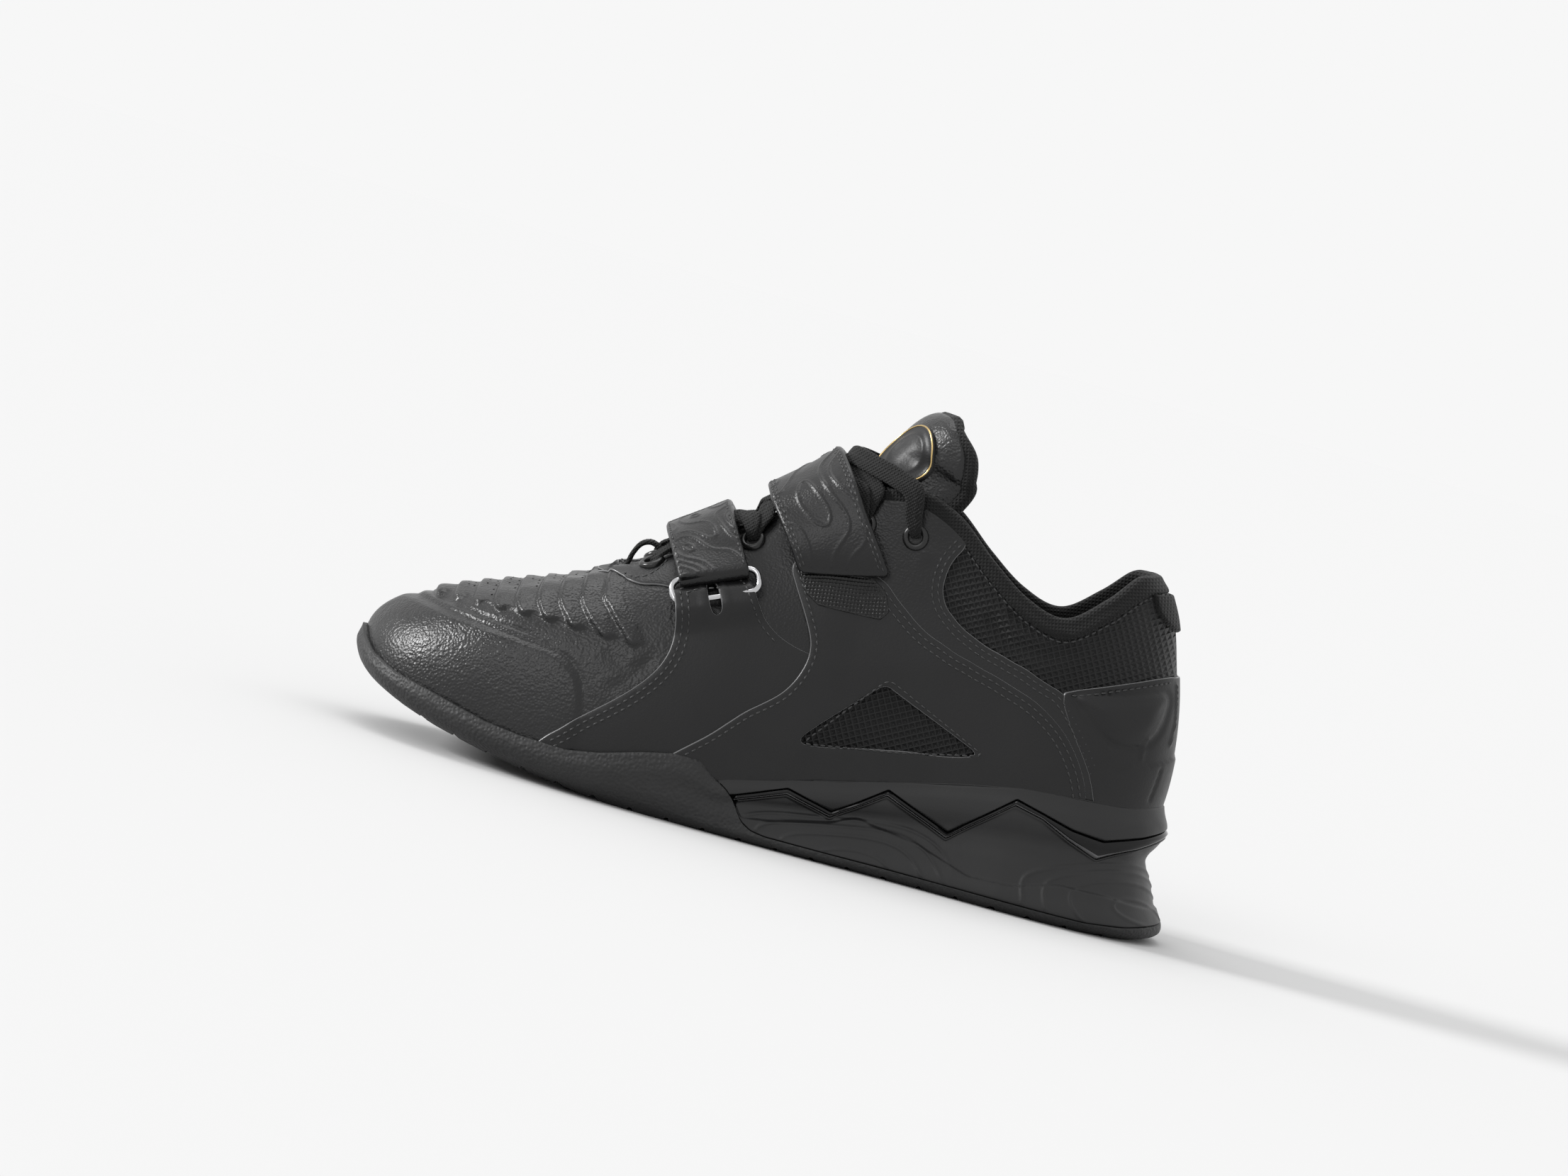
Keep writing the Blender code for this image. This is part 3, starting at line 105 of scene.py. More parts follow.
def plan_normal(position):
    """Level direction out of the shoe at its foot."""
    run = smooth(FEET, position + 0.05) - smooth(FEET, position - 0.05)
    return unit(np.stack([run[..., 1], -run[..., 0], 0 * run[..., 0]], -1))


def controls():
    """The four handles of every rib, once round the shoe."""
    rows = np.concatenate([RIBS, RIBS[-2:0:-1]])
    side = np.array([-1.0] * len(RIBS) + [1.0] * (HEEL_ROW - 1))
    half = np.where(side > 0, rows[:, 2], rows[:, 1])
    feet = np.stack([TOE_TIP + rows[:, 0] * LENGTH, side * half * BALL_WIDTH,
                     rows[:, 3] * HEEL_RISE], -1)
    edges = np.stack([TOE_TIP + rows[:, 6] * LENGTH, side * rows[:, 7] * ANKLE_WIDTH,
                      rows[:, 8] * INSTEP_HEIGHT], -1)
    return rows, feet, edges


ROWS, FEET, EDGES = controls()
RISE = EDGES - FEET
LOW = FEET + plan_normal(np.arange(LOOP)) * ROWS[:, 4:5] * BALL_WIDTH
LOW[:, 2] += ROWS[:, 5] * RISE[:, 2]
HIGH = EDGES - RISE * np.stack([ROWS[:, 9], ROWS[:, 9], ROWS[:, 10]], -1)


def last(q, v):
    """Points of the last: row position round the shoe, share v up the rib."""
    q, v = np.broadcast_arrays(np.asarray(q, float), np.asarray(v, float))
    p0, p1, p2, p3 = (smooth(c, q) for c in (FEET, LOW, HIGH, EDGES))
    v = v[..., None]
    u = 1 - v
    return p0 * u ** 3 + p1 * 3 * u * u * v + p2 * 3 * u * v * v + p3 * v ** 3


def last_normal(q, v):
    """Direction out of the last."""
    q, v = np.broadcast_arrays(np.asarray(q, float), np.asarray(v, float))
    along = last(q + 0.02, v) - last(q - 0.02, v)
    up = last(q, np.minimum(v + 0.02, 1)) - last(q, np.maximum(v - 0.02, 0))
    return unit(np.cross(along, up))


def skin(q, v, out=0.0):
    """A point on the upper, or that far outside it."""
    out = np.asarray(out, float)
    return last(q, v) + last_normal(q, v) * (out[..., None] if out.ndim else out)


# The upper unrolled: arc length round it and length up each rib, in millimetres
_q = np.linspace(-LOOP, 2 * LOOP, 3 * LOOP * 8 + 1)
_mid = last(_q, 0.5)
ARC = run_along(_mid) / MM
ARC -= np.interp(0.0, _q, ARC)
_ladder = last(_q[:, None], np.linspace(0, 1, 25)[None])
RIB_LENGTH = np.linalg.norm(np.diff(_ladder, axis=1), axis=2).sum(1) / MM


def unroll(q, v):
    """Places on the upper as plane points in millimetres."""
    return np.stack([np.interp(q, _q, ARC), v * np.interp(q, _q, RIB_LENGTH)], -1)


def roll(st):
    """Row positions and shares up the rib of unrolled points."""
    q = np.interp(st[..., 0], ARC, _q)
    return q, st[..., 1] / np.interp(q, _q, RIB_LENGTH)


# Places tried first when a point seen from the side is looked for
_tq, _tv = np.meshgrid(np.linspace(0.0, HEEL_ROW, 211), np.linspace(0.0, 1.0, 61), indexing="ij")
_txz = last(_tq, _tv)[..., (0, 2)].reshape(-1, 2) / MM


def locate(xz, side=-1):
    """Row position and share up the rib of points seen from the side."""
    xz = np.asarray(xz, float)
    q = np.empty(len(xz))
    v = np.empty(len(xz))
    for i, point in enumerate(xz):
        k = np.argmin(((_txz - point) ** 2).sum(1))
        q[i], v[i] = _tq.flat[k], _tv.flat[k]
    for _ in range(6):
        here = last(q, v)[:, (0, 2)] / MM
        dq = (last(q + 0.01, v)[:, (0, 2)] / MM - here) / 0.01
        dv = (last(q, v + 0.005)[:, (0, 2)] / MM - here) / 0.005
        det = dq[:, 0] * dv[:, 1] - dq[:, 1] * dv[:, 0]
        det = np.where(np.abs(det) < 20.0, np.sign(det) * 20.0 + (det == 0) * 20.0, det)
        miss = xz - here
        q += np.clip((miss[:, 0] * dv[:, 1] - miss[:, 1] * dv[:, 0]) / det, -0.3, 0.3)
        v += np.clip((dq[:, 0] * miss[:, 1] - dq[:, 1] * miss[:, 0]) / det, -0.05, 0.05)
        q = np.clip(q, 0.0, HEEL_ROW)
        v = np.clip(v, 0.0, 1.0)
    return (q if side < 0 else LOOP - q), v


# Meshes


def mesh_piece(name, verts, faces, material):
    """A smooth mesh in the scene, kept in the list of pieces."""
    mesh = bpy.data.meshes.new(name)
    mesh.from_pydata([tuple(p) for p in np.asarray(verts, float)], [],
                     [tuple(int(k) for k in f) for f in faces])
    mesh.validate()
    mesh.shade_smooth()
    obj = bpy.data.objects.new(name, mesh)
    bpy.context.scene.collection.objects.link(obj)
    mesh.materials.append(material)
    PIECES.append(obj)
    return obj


def grid_faces(rows, columns, wrap=False, start=0, flip=False):
    """Quads of a grid of points, rows first; wrap joins each row's ends."""
    r = np.arange(rows - 1)[:, None]
    c = np.arange(columns if wrap else columns - 1)[None]
    n = (c + 1) % columns
    quads = np.stack([r * columns + c, r * columns + n, (r + 1) * columns + n,
                      (r + 1) * columns + c], -1).reshape(-1, 4) + start
    return quads[:, ::-1] if flip else quads


def grid_piece(name, grid, material, wrap=False, flip=False):
    rows, columns = grid.shape[:2]
    return mesh_piece(name, grid.reshape(-1, 3), grid_faces(rows, columns, wrap, 0, flip),
                      material)


def chaikin(points, times=3, closed=True):
    """A line with its corners cut, some times over."""
    points = np.asarray(points, float)
    for _ in range(times):
        after = np.roll(points, -1, 0) if closed else points[1:]
        here = points if closed else points[:-1]
        cut = np.stack([here * 0.75 + after * 0.25, here * 0.25 + after * 0.75], 1).reshape(-1, 2)
        points = cut if closed else np.concatenate([points[:1], cut, points[-1:]])
    return points


def resample(points, step, closed=True):
    """Points at even steps along a line of points."""
    points = np.asarray(points, float)
    if closed:
        points = np.concatenate([points, points[:1]])
    run = run_along(points)
    count = max(3, int(round(run[-1] / step)))
    at = np.linspace(0, run[-1], count + 1)
    even = np.stack([np.interp(at, run, points[:, k]) for k in range(points.shape[1])], -1)
    return even[:-1] if closed else even


def line_normals(points, closed=True):
    """Unit normals to the left of a plane line."""
    if closed:
        run = np.roll(points, -1, 0) - np.roll(points, 1, 0)
    else:
        run = np.gradient(points, axis=0)
    return unit(np.stack([-run[:, 1], run[:, 0]], -1))


def offset(points, distance, closed=True):
    """A plane line moved to its left; a closed one is taken counter-clockwise."""
    moved = points + line_normals(points, closed) * distance
    for _ in range(3):
        before, after = np.roll(moved, 1, 0), np.roll(moved, -1, 0)
        eased = moved * 0.5 + (before + after) * 0.25
        if not closed:
            eased[0], eased[-1] = moved[0], moved[-1]
        moved = eased
    return moved


def counter_clockwise(points):
    """A closed plane line, turned round where it runs clockwise."""
    x, y = points[:, 0], points[:, 1]
    area = (x * np.roll(y, -1) - np.roll(x, -1) * y).sum()
    return points if area > 0 else points[::-1]


def inside(points, outline):
    """Which points lie within a closed plane line."""
    x, y = points[:, 0], points[:, 1]
    hit = np.zeros(len(points), bool)
    for (x0, y0), (x1, y1) in zip(outline, np.roll(outline, -1, 0)):
        if y0 != y1:
            cross = (y0 > y) != (y1 > y)
            hit ^= cross & (x < (x1 - x0) * (y - y0) / (y1 - y0) + x0)
    return hit


def within(points, outlines):
    """Which points lie within the first outline and outside the others."""
    keep = inside(points, outlines[0])
    for hole in outlines[1:]:
        keep &= ~inside(points, hole)
    return keep


def to_line(points, line, closed=False):
    """Distance from points to a line of points."""
    line = np.asarray(line, float)
    ends = np.roll(line, -1, 0) if closed else line[1:]
    best = np.full(points.shape[:-1], 1e9)
    for a, b in zip(line, ends):
        run = b - a
        t = np.clip(((points - a) @ run) / max(run @ run, 1e-9), 0, 1)
        gap = np.linalg.norm(points - a - t[..., None] * run, axis=-1)
        best = np.minimum(best, gap)
    return best


def on_side(outline, side):
    """An outline seen from the side, unrolled on that side of the upper."""
    dense = resample(outline, 0.9)
    return unroll(*locate(dense, side))


# Rounded edge of a sewn panel: share of the edge's reach inward, share of its height
EDGE_REACH = 0.9
EDGE = ((0.0, -0.35), (0.0, 0.30), (0.10, 0.66), (0.30, 0.90), (0.62, 1.0))


def panel(name, outline, height, material, base=0.0, holes=(), step=1.5, relief=None, edge=None):
    """A sewn panel on the upper, from its unrolled outline: height, base and relief in
    millimetres, and the finish of its cut edge, whose lighter grey is partly a painted highlight."""
    loops = [(counter_clockwise(resample(outline, 0.7)), 1.0)]
    loops += [(counter_clockwise(resample(hole, 0.7)), -1.0) for hole in holes]
    verts2, lifts, faces, rims = [], [], [], []
    for loop, way in loops:
        first = sum(len(v) for v in verts2)
        for k, (share, up) in enumerate(EDGE):
            verts2.append(offset(loop, way * share * EDGE_REACH) if share else loop)
            lifts.append(np.full(len(loop), up))
        rings = grid_faces(len(EDGE), len(loop), True, first, way < 0)
        faces.append(rings)
        rims.append((first + (len(EDGE) - 1) * len(loop), len(loop)))
    low, high = loops[0][0].min(0), loops[0][0].max(0)
    gx, gy = np.meshgrid(np.arange(low[0], high[0], step), np.arange(low[1], high[1], step * 0.87))
    gx = gx + (np.arange(gx.shape[0])[:, None] % 2) * step / 2
    fill = np.stack([gx.ravel(), gy.ravel()], -1)
    rim_points = [np.concatenate(verts2)[a:a + n] for a, n in rims]
    fill = fill[within(fill, rim_points)]
    for rim in rim_points:
        near = np.full(len(fill), 1e9)
        for point in rim:
            near = np.minimum(near, ((fill - point) ** 2).sum(1))
        fill = fill[near > (step * 0.5) ** 2]
    ring_index = np.concatenate([np.arange(a, a + n) for a, n in rims])
    flat = np.concatenate(rim_points + [fill])
    edges, at = [], 0
    for _, n in rims:
        edges += [(at + k, at + (k + 1) % n) for k in range(n)]
        at += n
    out = delaunay_2d_cdt([Vector(p) for p in flat], edges, [], 0, 1e-5)
    total = sum(len(v) for v in verts2)
    spots = np.array([tuple(p) for p in out[0]])
    source = [k[0] if k else -1 for k in out[3]]
    index = np.array([ring_index[k] if 0 <= k < len(ring_index) else total + i
                      for i, k in enumerate(source)])
    tris = np.array([f for f in out[2]])
    tris = tris[within(spots[tris].mean(1), rim_points)]
    x0 = spots[tris]
    area = ((x0[:, 1, 0] - x0[:, 0, 0]) * (x0[:, 2, 1] - x0[:, 0, 1])
            - (x0[:, 2, 0] - x0[:, 0, 0]) * (x0[:, 1, 1] - x0[:, 0, 1]))
    tris = np.where(area[:, None] > 0, tris, tris[:, ::-1])
    verts2 = np.concatenate(verts2 + [spots])
    lifts = np.concatenate(lifts + [np.ones(len(spots))])
    out_by = lifts * height + (base(verts2) if callable(base) else base) * (lifts > 0)
    if relief is not None:
        out_by = out_by + relief(verts2) * (lifts > 0.85)
    points = surface_at(verts2, out_by * MM)
    slots = []
    # Rings 1 and 2 of the rounded edge take the edge finish: lighter grey, partly the raw cut edge
    # and partly a painted highlight along it.
    for rings, (_, count) in zip(faces, rims):
        slots += [1 if 0 < k // count < 3 else 0 for k in range(len(rings))]
    faces = [tuple(f) for f in np.concatenate(faces)] + [tuple(f) for f in index[tris]]
    obj = mesh_piece(name, points, faces, material)
    if edge is not None:
        obj.data.materials.append(edge)
        slots += [0] * (len(obj.data.polygons) - len(slots))
        obj.data.polygons.foreach_set("material_index", np.array(slots, np.int32))
    return obj


# Stitches in millimetres
STITCH_PITCH = 2.6
STITCH_LENGTH = 1.8
STITCH_WIDTH = 0.40
STITCH_HEIGHT = 0.248


class Stitches:
    """Small thread capsules collected along lines and made into one piece."""

    def __init__(self):
        self.verts, self.faces, self.count = [], [], 0
        rings = [(-0.5, 0.0), (-0.42, 0.7), (0.0, 1.0), (0.42, 0.7), (0.5, 0.0)]
        turn = np.arange(6) * math.tau / 6
        self.shape = np.array([[(a, r * math.cos(t), r * math.sin(t)) for t in turn]
                               for a, r in rings]).reshape(-1, 3)
        self.quads = grid_faces(len(rings), 6, True)

    def along(self, points, normals, closed=False):
        """A row of stitches along points, standing up along the normals."""
        points, normals = np.asarray(points), np.asarray(normals)
        both = np.concatenate([points, normals], 1)
        if closed:
            both = np.concatenate([both, both[:1]])
        run = run_along(both[:, :3])
        count = int(run[-1] / (STITCH_PITCH * MM))
        if count < 1:
            return
        at = (np.arange(count) + 0.5) * run[-1] / count
        half = STITCH_LENGTH * MM / 2
        ends = [np.stack([np.interp(at + s, run, both[:, k]) for k in range(6)], -1)
                for s in (-half, half)]
        middle = np.stack([np.interp(at, run, both[:, k]) for k in range(6)], -1)
        run_dir = unit(ends[1][:, :3] - ends[0][:, :3])
        up = unit(middle[:, 3:])
        side = unit(np.cross(up, run_dir))
        up = np.cross(run_dir, side)
        size = STITCH_LENGTH * MM, STITCH_WIDTH * MM, STITCH_HEIGHT * MM
        for m, d, s, u in zip(middle[:, :3], run_dir, side, up):
            place = (m + self.shape[:, :1] * d * size[0] + self.shape[:, 1:2] * s * size[1]
                     + self.shape[:, 2:] * u * size[2])
            self.verts.append(place)
            self.faces.append(self.quads + self.count)
            self.count += len(place)

    def piece(self, name, material):
        return mesh_piece(name, np.concatenate(self.verts), np.concatenate(self.faces), material)


def tube(name, path, radius, material, sides=10, closed=False):
    """A round tube along points in metres."""
    path = np.asarray(path, float)
    run = (np.roll(path, -1, 0) - np.roll(path, 1, 0)) if closed else np.gradient(path, axis=0)
    run = unit(run)
    ups = np.zeros_like(path)
    up = np.cross(run[0], (0.31, 0.82, 0.48))
    for k in range(len(path)):
        up = up - run[k] * (up @ run[k])
        up = up / np.linalg.norm(up)
        ups[k] = up
    side = unit(np.cross(run, ups))
    ups = np.cross(side, run)
    turn = np.arange(sides) * math.tau / sides
    radius = np.broadcast_to(np.asarray(radius, float), (len(path),))[:, None, None]
    ring = (path[:, None] + radius * (np.cos(turn)[None, :, None] * side[:, None]
            + np.sin(turn)[None, :, None] * ups[:, None]))
    if closed:
        ring = np.concatenate([ring, ring[:1]])
    faces = list(map(tuple, grid_faces(len(ring), sides, True)))
    if not closed:
        end = (len(ring) - 1) * sides
        faces += [tuple(range(sides)), tuple(range(end, end + sides))[::-1]]
    return mesh_piece(name, ring.reshape(-1, 3), faces, material)




# Finishes


def finish(name, colour, roughness, bumps=(), mottle=0.0, rough_mottle=0.0, metallic=0.0,
           **sockets):
    """A Principled finish. A bump is (kind, cells a metre, depth in metres, stretch)."""
    material = bpy.data.materials.new(name)
    material.use_nodes = True
    tree = material.node_tree
    shader = tree.nodes["Principled BSDF"]
    shader.inputs["Base Color"].default_value = (*colour, 1.0)
    shader.inputs["Roughness"].default_value = roughness
    shader.inputs["Metallic"].default_value = metallic
    for socket, value in sockets.items():
        shader.inputs[socket.replace("_", " ")].default_value = value
    place = tree.nodes.new("ShaderNodeTexCoord").outputs["Object"]

    def node(kind, **inputs):
        made = tree.nodes.new("ShaderNode" + kind)
        for key, value in inputs.items():
            socket = made.inputs[key.replace("_", " ")]
            if hasattr(value, "is_linked"):
                tree.links.new(value, socket)
            else:
                socket.default_value = value
        return made

    def stretched(stretch):
        mapping = node("Mapping", Vector=place, Scale=stretch[:3])
        if len(stretch) > 3:
            mapping.inputs["Rotation"].default_value = stretch[3:]
        return mapping.outputs["Vector"]

    normal = None
    for kind, scale, depth, stretch in bumps:
        at = stretched(stretch)
        if kind == "grain":
            made = node("TexVoronoi", Vector=at, Scale=scale)
            made.feature = "SMOOTH_F1"
            height = made.outputs["Distance"]
        elif kind == "weave":
            first = node("TexWave", Vector=at, Scale=scale)
            first.bands_direction = "X"
            second = node("TexWave", Vector=at, Scale=scale)
            second.bands_direction = "Z"
            made = node("Math")
            made.operation = "MAXIMUM"
            tree.links.new(first.outputs["Fac"], made.inputs[0])
            tree.links.new(second.outputs["Fac"], made.inputs[1])
            height = made.outputs[0]
        else:
            height = node("TexNoise", Vector=at, Scale=scale, Detail=4.0).outputs["Fac"]
        bump = node("Bump", Height=height, Distance=depth)
        if normal is not None:
            tree.links.new(normal, bump.inputs["Normal"])
        normal = bump.outputs["Normal"]
    if normal is not None:
        tree.links.new(normal, shader.inputs["Normal"])
        if "Coat Weight" in shader.inputs:
            tree.links.new(normal, shader.inputs["Coat Normal"])
    if mottle:
        cloud = node("TexNoise", Vector=place, Scale=45.0, Detail=5.0).outputs["Fac"]
        low = node("MapRange", Value=cloud, From_Min=0.3, From_Max=0.7, To_Min=1.0 - mottle,
                   To_Max=1.0 + mottle).outputs[0]
        tint = node("VectorMath")
        tint.operation = "SCALE"
        tint.inputs[0].default_value = colour
        tree.links.new(low, tint.inputs["Scale"])
        tree.links.new(tint.outputs["Vector"], shader.inputs["Base Color"])
    if rough_mottle:
        cloud = node("TexNoise", Vector=place, Scale=120.0, Detail=6.0).outputs["Fac"]
        low = node("MapRange", Value=cloud, From_Min=0.3, From_Max=0.7,
                   To_Min=roughness - rough_mottle, To_Max=roughness + rough_mottle).outputs[0]
        tree.links.new(low, shader.inputs["Roughness"])
    return material


EVEN = (1.0, 1.0, 1.0)


def build_finishes():
    """The finishes of the shoe by plain names."""
    return {
        "leather": finish("leather", (0.0055, 0.0055, 0.0058), 0.35,
                          (("grain", 1150.0, 0.00022, EVEN), ("noise", 420.0, 0.00018, EVEN)),
                          0.15, 0.05, Specular_IOR_Level=0.42),
        "moulded": finish("moulded", (0.0055, 0.0055, 0.0058), 0.42,
                          (("grain", 1500.0, 0.00004, EVEN), ("noise", 700.0, 0.00005, EVEN)),
                          0.12, 0.05, Specular_IOR_Level=0.34),
        # Cut edges and bevels in lighter grey: partly the raw edge's own tone, partly a painted
        # highlight along them.
        "edge": finish("edge", (0.11, 0.11, 0.112), 0.30, Specular_IOR_Level=0.6),
        # Near-black and nearly unreflecting: painted shade for the toe's perforations and behind
        # the heel's seams.
        "hollow": finish("hollow", (0.001, 0.001, 0.001), 0.95, Specular_IOR_Level=0.05),
        "mesh": finish("mesh", (0.004, 0.004, 0.0042), 0.50,
                       (("weave", 150.0, 0.0011, (1.0, 1.0, 1.0, 0.0, 0.5, 0.0)),), 0.25, 0.0,
                       Specular_IOR_Level=0.30, Sheen_Weight=0.03),
        "knit": finish("knit", (0.004, 0.004, 0.004), 0.7,
                       (("weave", 260.0, 0.0005, (1.0, 1.0, 1.0, 0.0, 0.2, 0.0)),), 0.25, 0.0,
                       Specular_IOR_Level=0.25, Sheen_Weight=0.05),
        "lining": finish("lining", (0.003, 0.003, 0.003), 0.9,
                         (("weave", 300.0, 0.0003, EVEN),), 0.2, 0.0, Specular_IOR_Level=0.15),
        "thread": finish("thread", (0.020, 0.020, 0.0205), 0.45, Specular_IOR_Level=0.45),
        "strap": finish("strap", (0.0052, 0.0052, 0.0055), 0.36,
                        (("grain", 1350.0, 0.00011, EVEN),), 0.12, 0.05,
                        Specular_IOR_Level=0.36),
        "hook": finish("hook", (0.003, 0.003, 0.003), 0.34, (("noise", 1700.0, 0.0002, EVEN),),
                       0.3, 0.0, Specular_IOR_Level=0.4),
        "steel": finish("steel", (0.50, 0.50, 0.51), 0.16, (("noise", 700.0, 0.00002, EVEN),),
                        0.0, 0.04, metallic=1.0),
        "gold": finish("gold", (0.55, 0.40, 0.18), 0.26, (), 0.0, 0.0, metallic=1.0),
        "enamel": finish("enamel", (0.012, 0.012, 0.012), 0.25, (), 0.0, 0.05, metallic=0.3,
                         Specular_IOR_Level=0.5),
        "lace": finish("lace", (0.004, 0.004, 0.004), 0.7,
                       (("weave", 330.0, 0.0004, (1.0, 1.0, 1.0, 0.0, 0.8, 0.0)),), 0.2, 0.0,
                       Specular_IOR_Level=0.25, Sheen_Weight=0.05),
        "rubber": finish("rubber", (0.011, 0.011, 0.0113), 0.55,
                         (("grain", 900.0, 0.0004, EVEN),), 0.12, 0.06, Specular_IOR_Level=0.45),
        "wedge": finish("wedge", (0.0085, 0.0085, 0.0088), 0.42,
                        (("noise", 1500.0, 0.00004, EVEN),), 0.1, 0.06, Specular_IOR_Level=0.42),
        "gloss": finish("gloss", (0.002, 0.002, 0.0022), 0.07, (), 0.0, 0.02,
                        Specular_IOR_Level=0.28),
        "footbed": finish("footbed", (0.010, 0.010, 0.0105), 0.9,
                          (("noise", 900.0, 0.0003, EVEN),), 0.2, 0.0, Sheen_Weight=0.1),
    }


# Camera, floor and light


def build_stage():
    """The photo's view, rolled with its toe up, over a plain pale floor."""
    turn, fall, roll = (math.radians(a) for a in (VIEW_YAW, VIEW_FALL, VIEW_ROLL))
    look = Vector((math.sin(turn) * math.cos(fall), math.cos(turn) * math.cos(fall),
                   -math.sin(fall)))
    level = look.cross(Vector((0.0, 0.0, 1.0))).normalized()
    upright = level.cross(look)
    right = level * math.cos(roll) + upright * math.sin(roll)
    up = upright * math.cos(roll) - level * math.sin(roll)
    camera = bpy.data.cameras.new("camera")
    camera.lens = 36.0 * VIEW_DISTANCE / VIEW_WIDTH
    camera.clip_end = 60.0
    obj = bpy.data.objects.new("camera", camera)
    rotation = Matrix((right, up, -look)).transposed().to_4x4()
    obj.matrix_world = Matrix.Translation(VIEW_MIDDLE - look * VIEW_DISTANCE) @ rotation
    bpy.context.scene.collection.objects.link(obj)
    bpy.context.scene.camera = obj
    floor = finish("floor", (0.582, 0.582, 0.582), 0.9, Specular_IOR_Level=0.0)
    turns = np.arange(96) * math.tau / 96
    ground = mesh_piece("floor", [(9 * math.cos(t), 9 * math.sin(t), 0.0) for t in turns],
                        [tuple(range(96))], floor)
    PIECES.remove(ground)
    bpy.context.scene.view_settings.view_transform = "Standard"
    world = bpy.data.worlds.new("world")
    bpy.context.scene.world = world
    world.use_nodes = True
    world.node_tree.nodes["Background"].inputs["Color"].default_value = (0.93, 0.93, 0.93, 1.0)
    world.node_tree.nodes["Background"].inputs["Strength"].default_value = 1.0
    for name, place, spread, power in LIGHTS:
        lamp = bpy.data.lights.new(name, "SUN")
        lamp.angle = math.radians(spread)
        lamp.energy = power
        lamp_obj = bpy.data.objects.new(name, lamp)
        lamp_obj.rotation_euler = (-Vector(place)).to_track_quat("-Z", "Y").to_euler()
        bpy.context.scene.collection.objects.link(lamp_obj)


# The view in degrees and metres; the width is what it spans at the shoe's middle
VIEW_YAW = 0.0
VIEW_FALL = 4.0
VIEW_ROLL = 15.7
VIEW_DISTANCE = 2.0
VIEW_WIDTH = 0.553
VIEW_MIDDLE = Vector((-0.1186, 0.0, 0.0855))
# Lamps: name, place as a direction, spread in degrees, power
LIGHTS = (("key", (-0.93, -0.06, 0.42), 15.0, 3.0),
          ("top", (-0.25, 0.25, 1.0), 34.0, 0.7),
          ("side", (-0.5, -0.8, 0.6), 24.0, 0.35))


# Upper shell


def crest_height(x):
    """Height of the vamp along its middle, seen from the side."""
    return np.interp(x, (-243, -230, -220, -210, -200, -190, -180, -175, -164),
                     (48.5, 53.5, 57.5, 60.8, 64.2, 67.2, 70.5, 73.5, 77.5))


def rib_phase(x, z):
    """Place of the toe's ribs along the crest; they sweep back down the sides."""
    drop = crest_height(x) - z - 4.5
    return x - 0.39 * (drop + np.sqrt(drop ** 2 + 4.0))


RIB_PITCH = 7.25
PUNCH_RADIUS = 0.00048
RIB_FOOT = ((-243, 49.6), (-225, 52.3), (-210, 53.6), (-195, 54.8), (-164, 55.0))
CAP_EDGE = ((-262, 46.5), (-243, 47), (-230, 46.5), (-210, 46), (-200, 45.5), (-190, 45),
            (-185, 43.5), (-180, 40), (-177.5, 36), (-175, 30.5), (-174, 25), (-173.5, 16))


def toe_relief(q, v):
    """The toe's raised cap, the crease over it and the ribs across the vamp."""
    point = last(q, v) / MM
    x, z = point[..., 0], point[..., 2]
    spots = np.stack([x, z], -1)
    edge = resample(chaikin(CAP_EDGE, 2, False), 1.5, False)
    gap = to_line(spots, edge)
    within = np.interp(x, edge[:, 0], edge[:, 1]) > z
    gap = np.where(within & (x < -173.5), gap, -gap)
    front = ease(-172.0, -178.0, x)
    out = front * (1.0 * ease(-1.3, 1.6, gap) - 0.55 * np.exp(-((gap + 2.0) / 1.1) ** 2))
    ridge = np.interp(x, (-245, -225, -210, -195, -180), (49.4, 48.8, 48.3, 47.4, 46.0))
    out += 0.6 * np.exp(-((z - ridge) / 0.85) ** 2) * ease(-178.0, -200.0, x) * (x > -246)
    out -= 0.55 * np.exp(-((z - ridge - 1.6) / 0.9) ** 2) * ease(-185.0, -205.0, x) * (x > -246)
    phase = rib_phase(x, z)
    t = ((phase + 179.3) / RIB_PITCH) % 1.0
    rib = ease(0.0, 0.20, t) * (1.0 - ease(0.20, 1.08, t) * 0.95)
    foot = np.interp(x, *np.array(RIB_FOOT).T) + 0.7 * np.cos(phase / RIB_PITCH * math.tau)
    zone = (ease(0.0, 1.1, z - foot) * (x < -160) * ease(-239.5, -238.0, phase)
            * ease(-171.6, -173.0, phase) * (1.0 - ease(0.93, 0.985, v)))
    side = ease(3.0, 11.0, crest_height(x) - z)
    return out + zone * ((1.15 + 0.7 * side) * rib + 0.3)


def swell(q, v):
    """Padding, reliefs and creases of the upper, in millimetres."""
    row = np.minimum(q % LOOP, LOOP - q % LOOP)
    collar = ease(13.6, 15.2, row) * ease(0.62, 0.86, v) * (1.0 - 0.6 * ease(0.94, 1.0, v))
    out = 1.3 * collar + np.where(row < 8.0, toe_relief(row, v), 0.0)
    flat = unroll(row, v)
    for place, deep, wide in CREASES:
        line = resample(unroll(*locate(np.array(place))), 2.0, False)
        gap = to_line(flat, line)
        out = out - deep * np.exp(-(gap / wide) ** 2) + 0.45 * deep * np.exp(
            -((gap - 2.1 * wide) / wide) ** 2)
    return out


# Soft hollows pressed: points, depth and width
CREASES = (
    (((-170, 50), (-163, 47), (-157, 50)), 0.30, 2.2),
    (((-166, 40), (-160, 45), (-156, 54)), 0.25, 2.0),
    (((-46, 96), (-38, 90), (-26, 90), (-18, 94)), 0.45, 2.4),
    (((-40, 101), (-30, 96.5), (-20, 97)), 0.35, 1.6),
    (((-72, 108), (-64, 100), (-56, 96)), 0.35, 2.2),
)


def surface_at(st, out):
    """Points above the padded upper at unrolled places, lifted by metres."""
    q, v = roll(st)
    return skin(q, v, np.asarray(out) + swell(q, v) * MM)


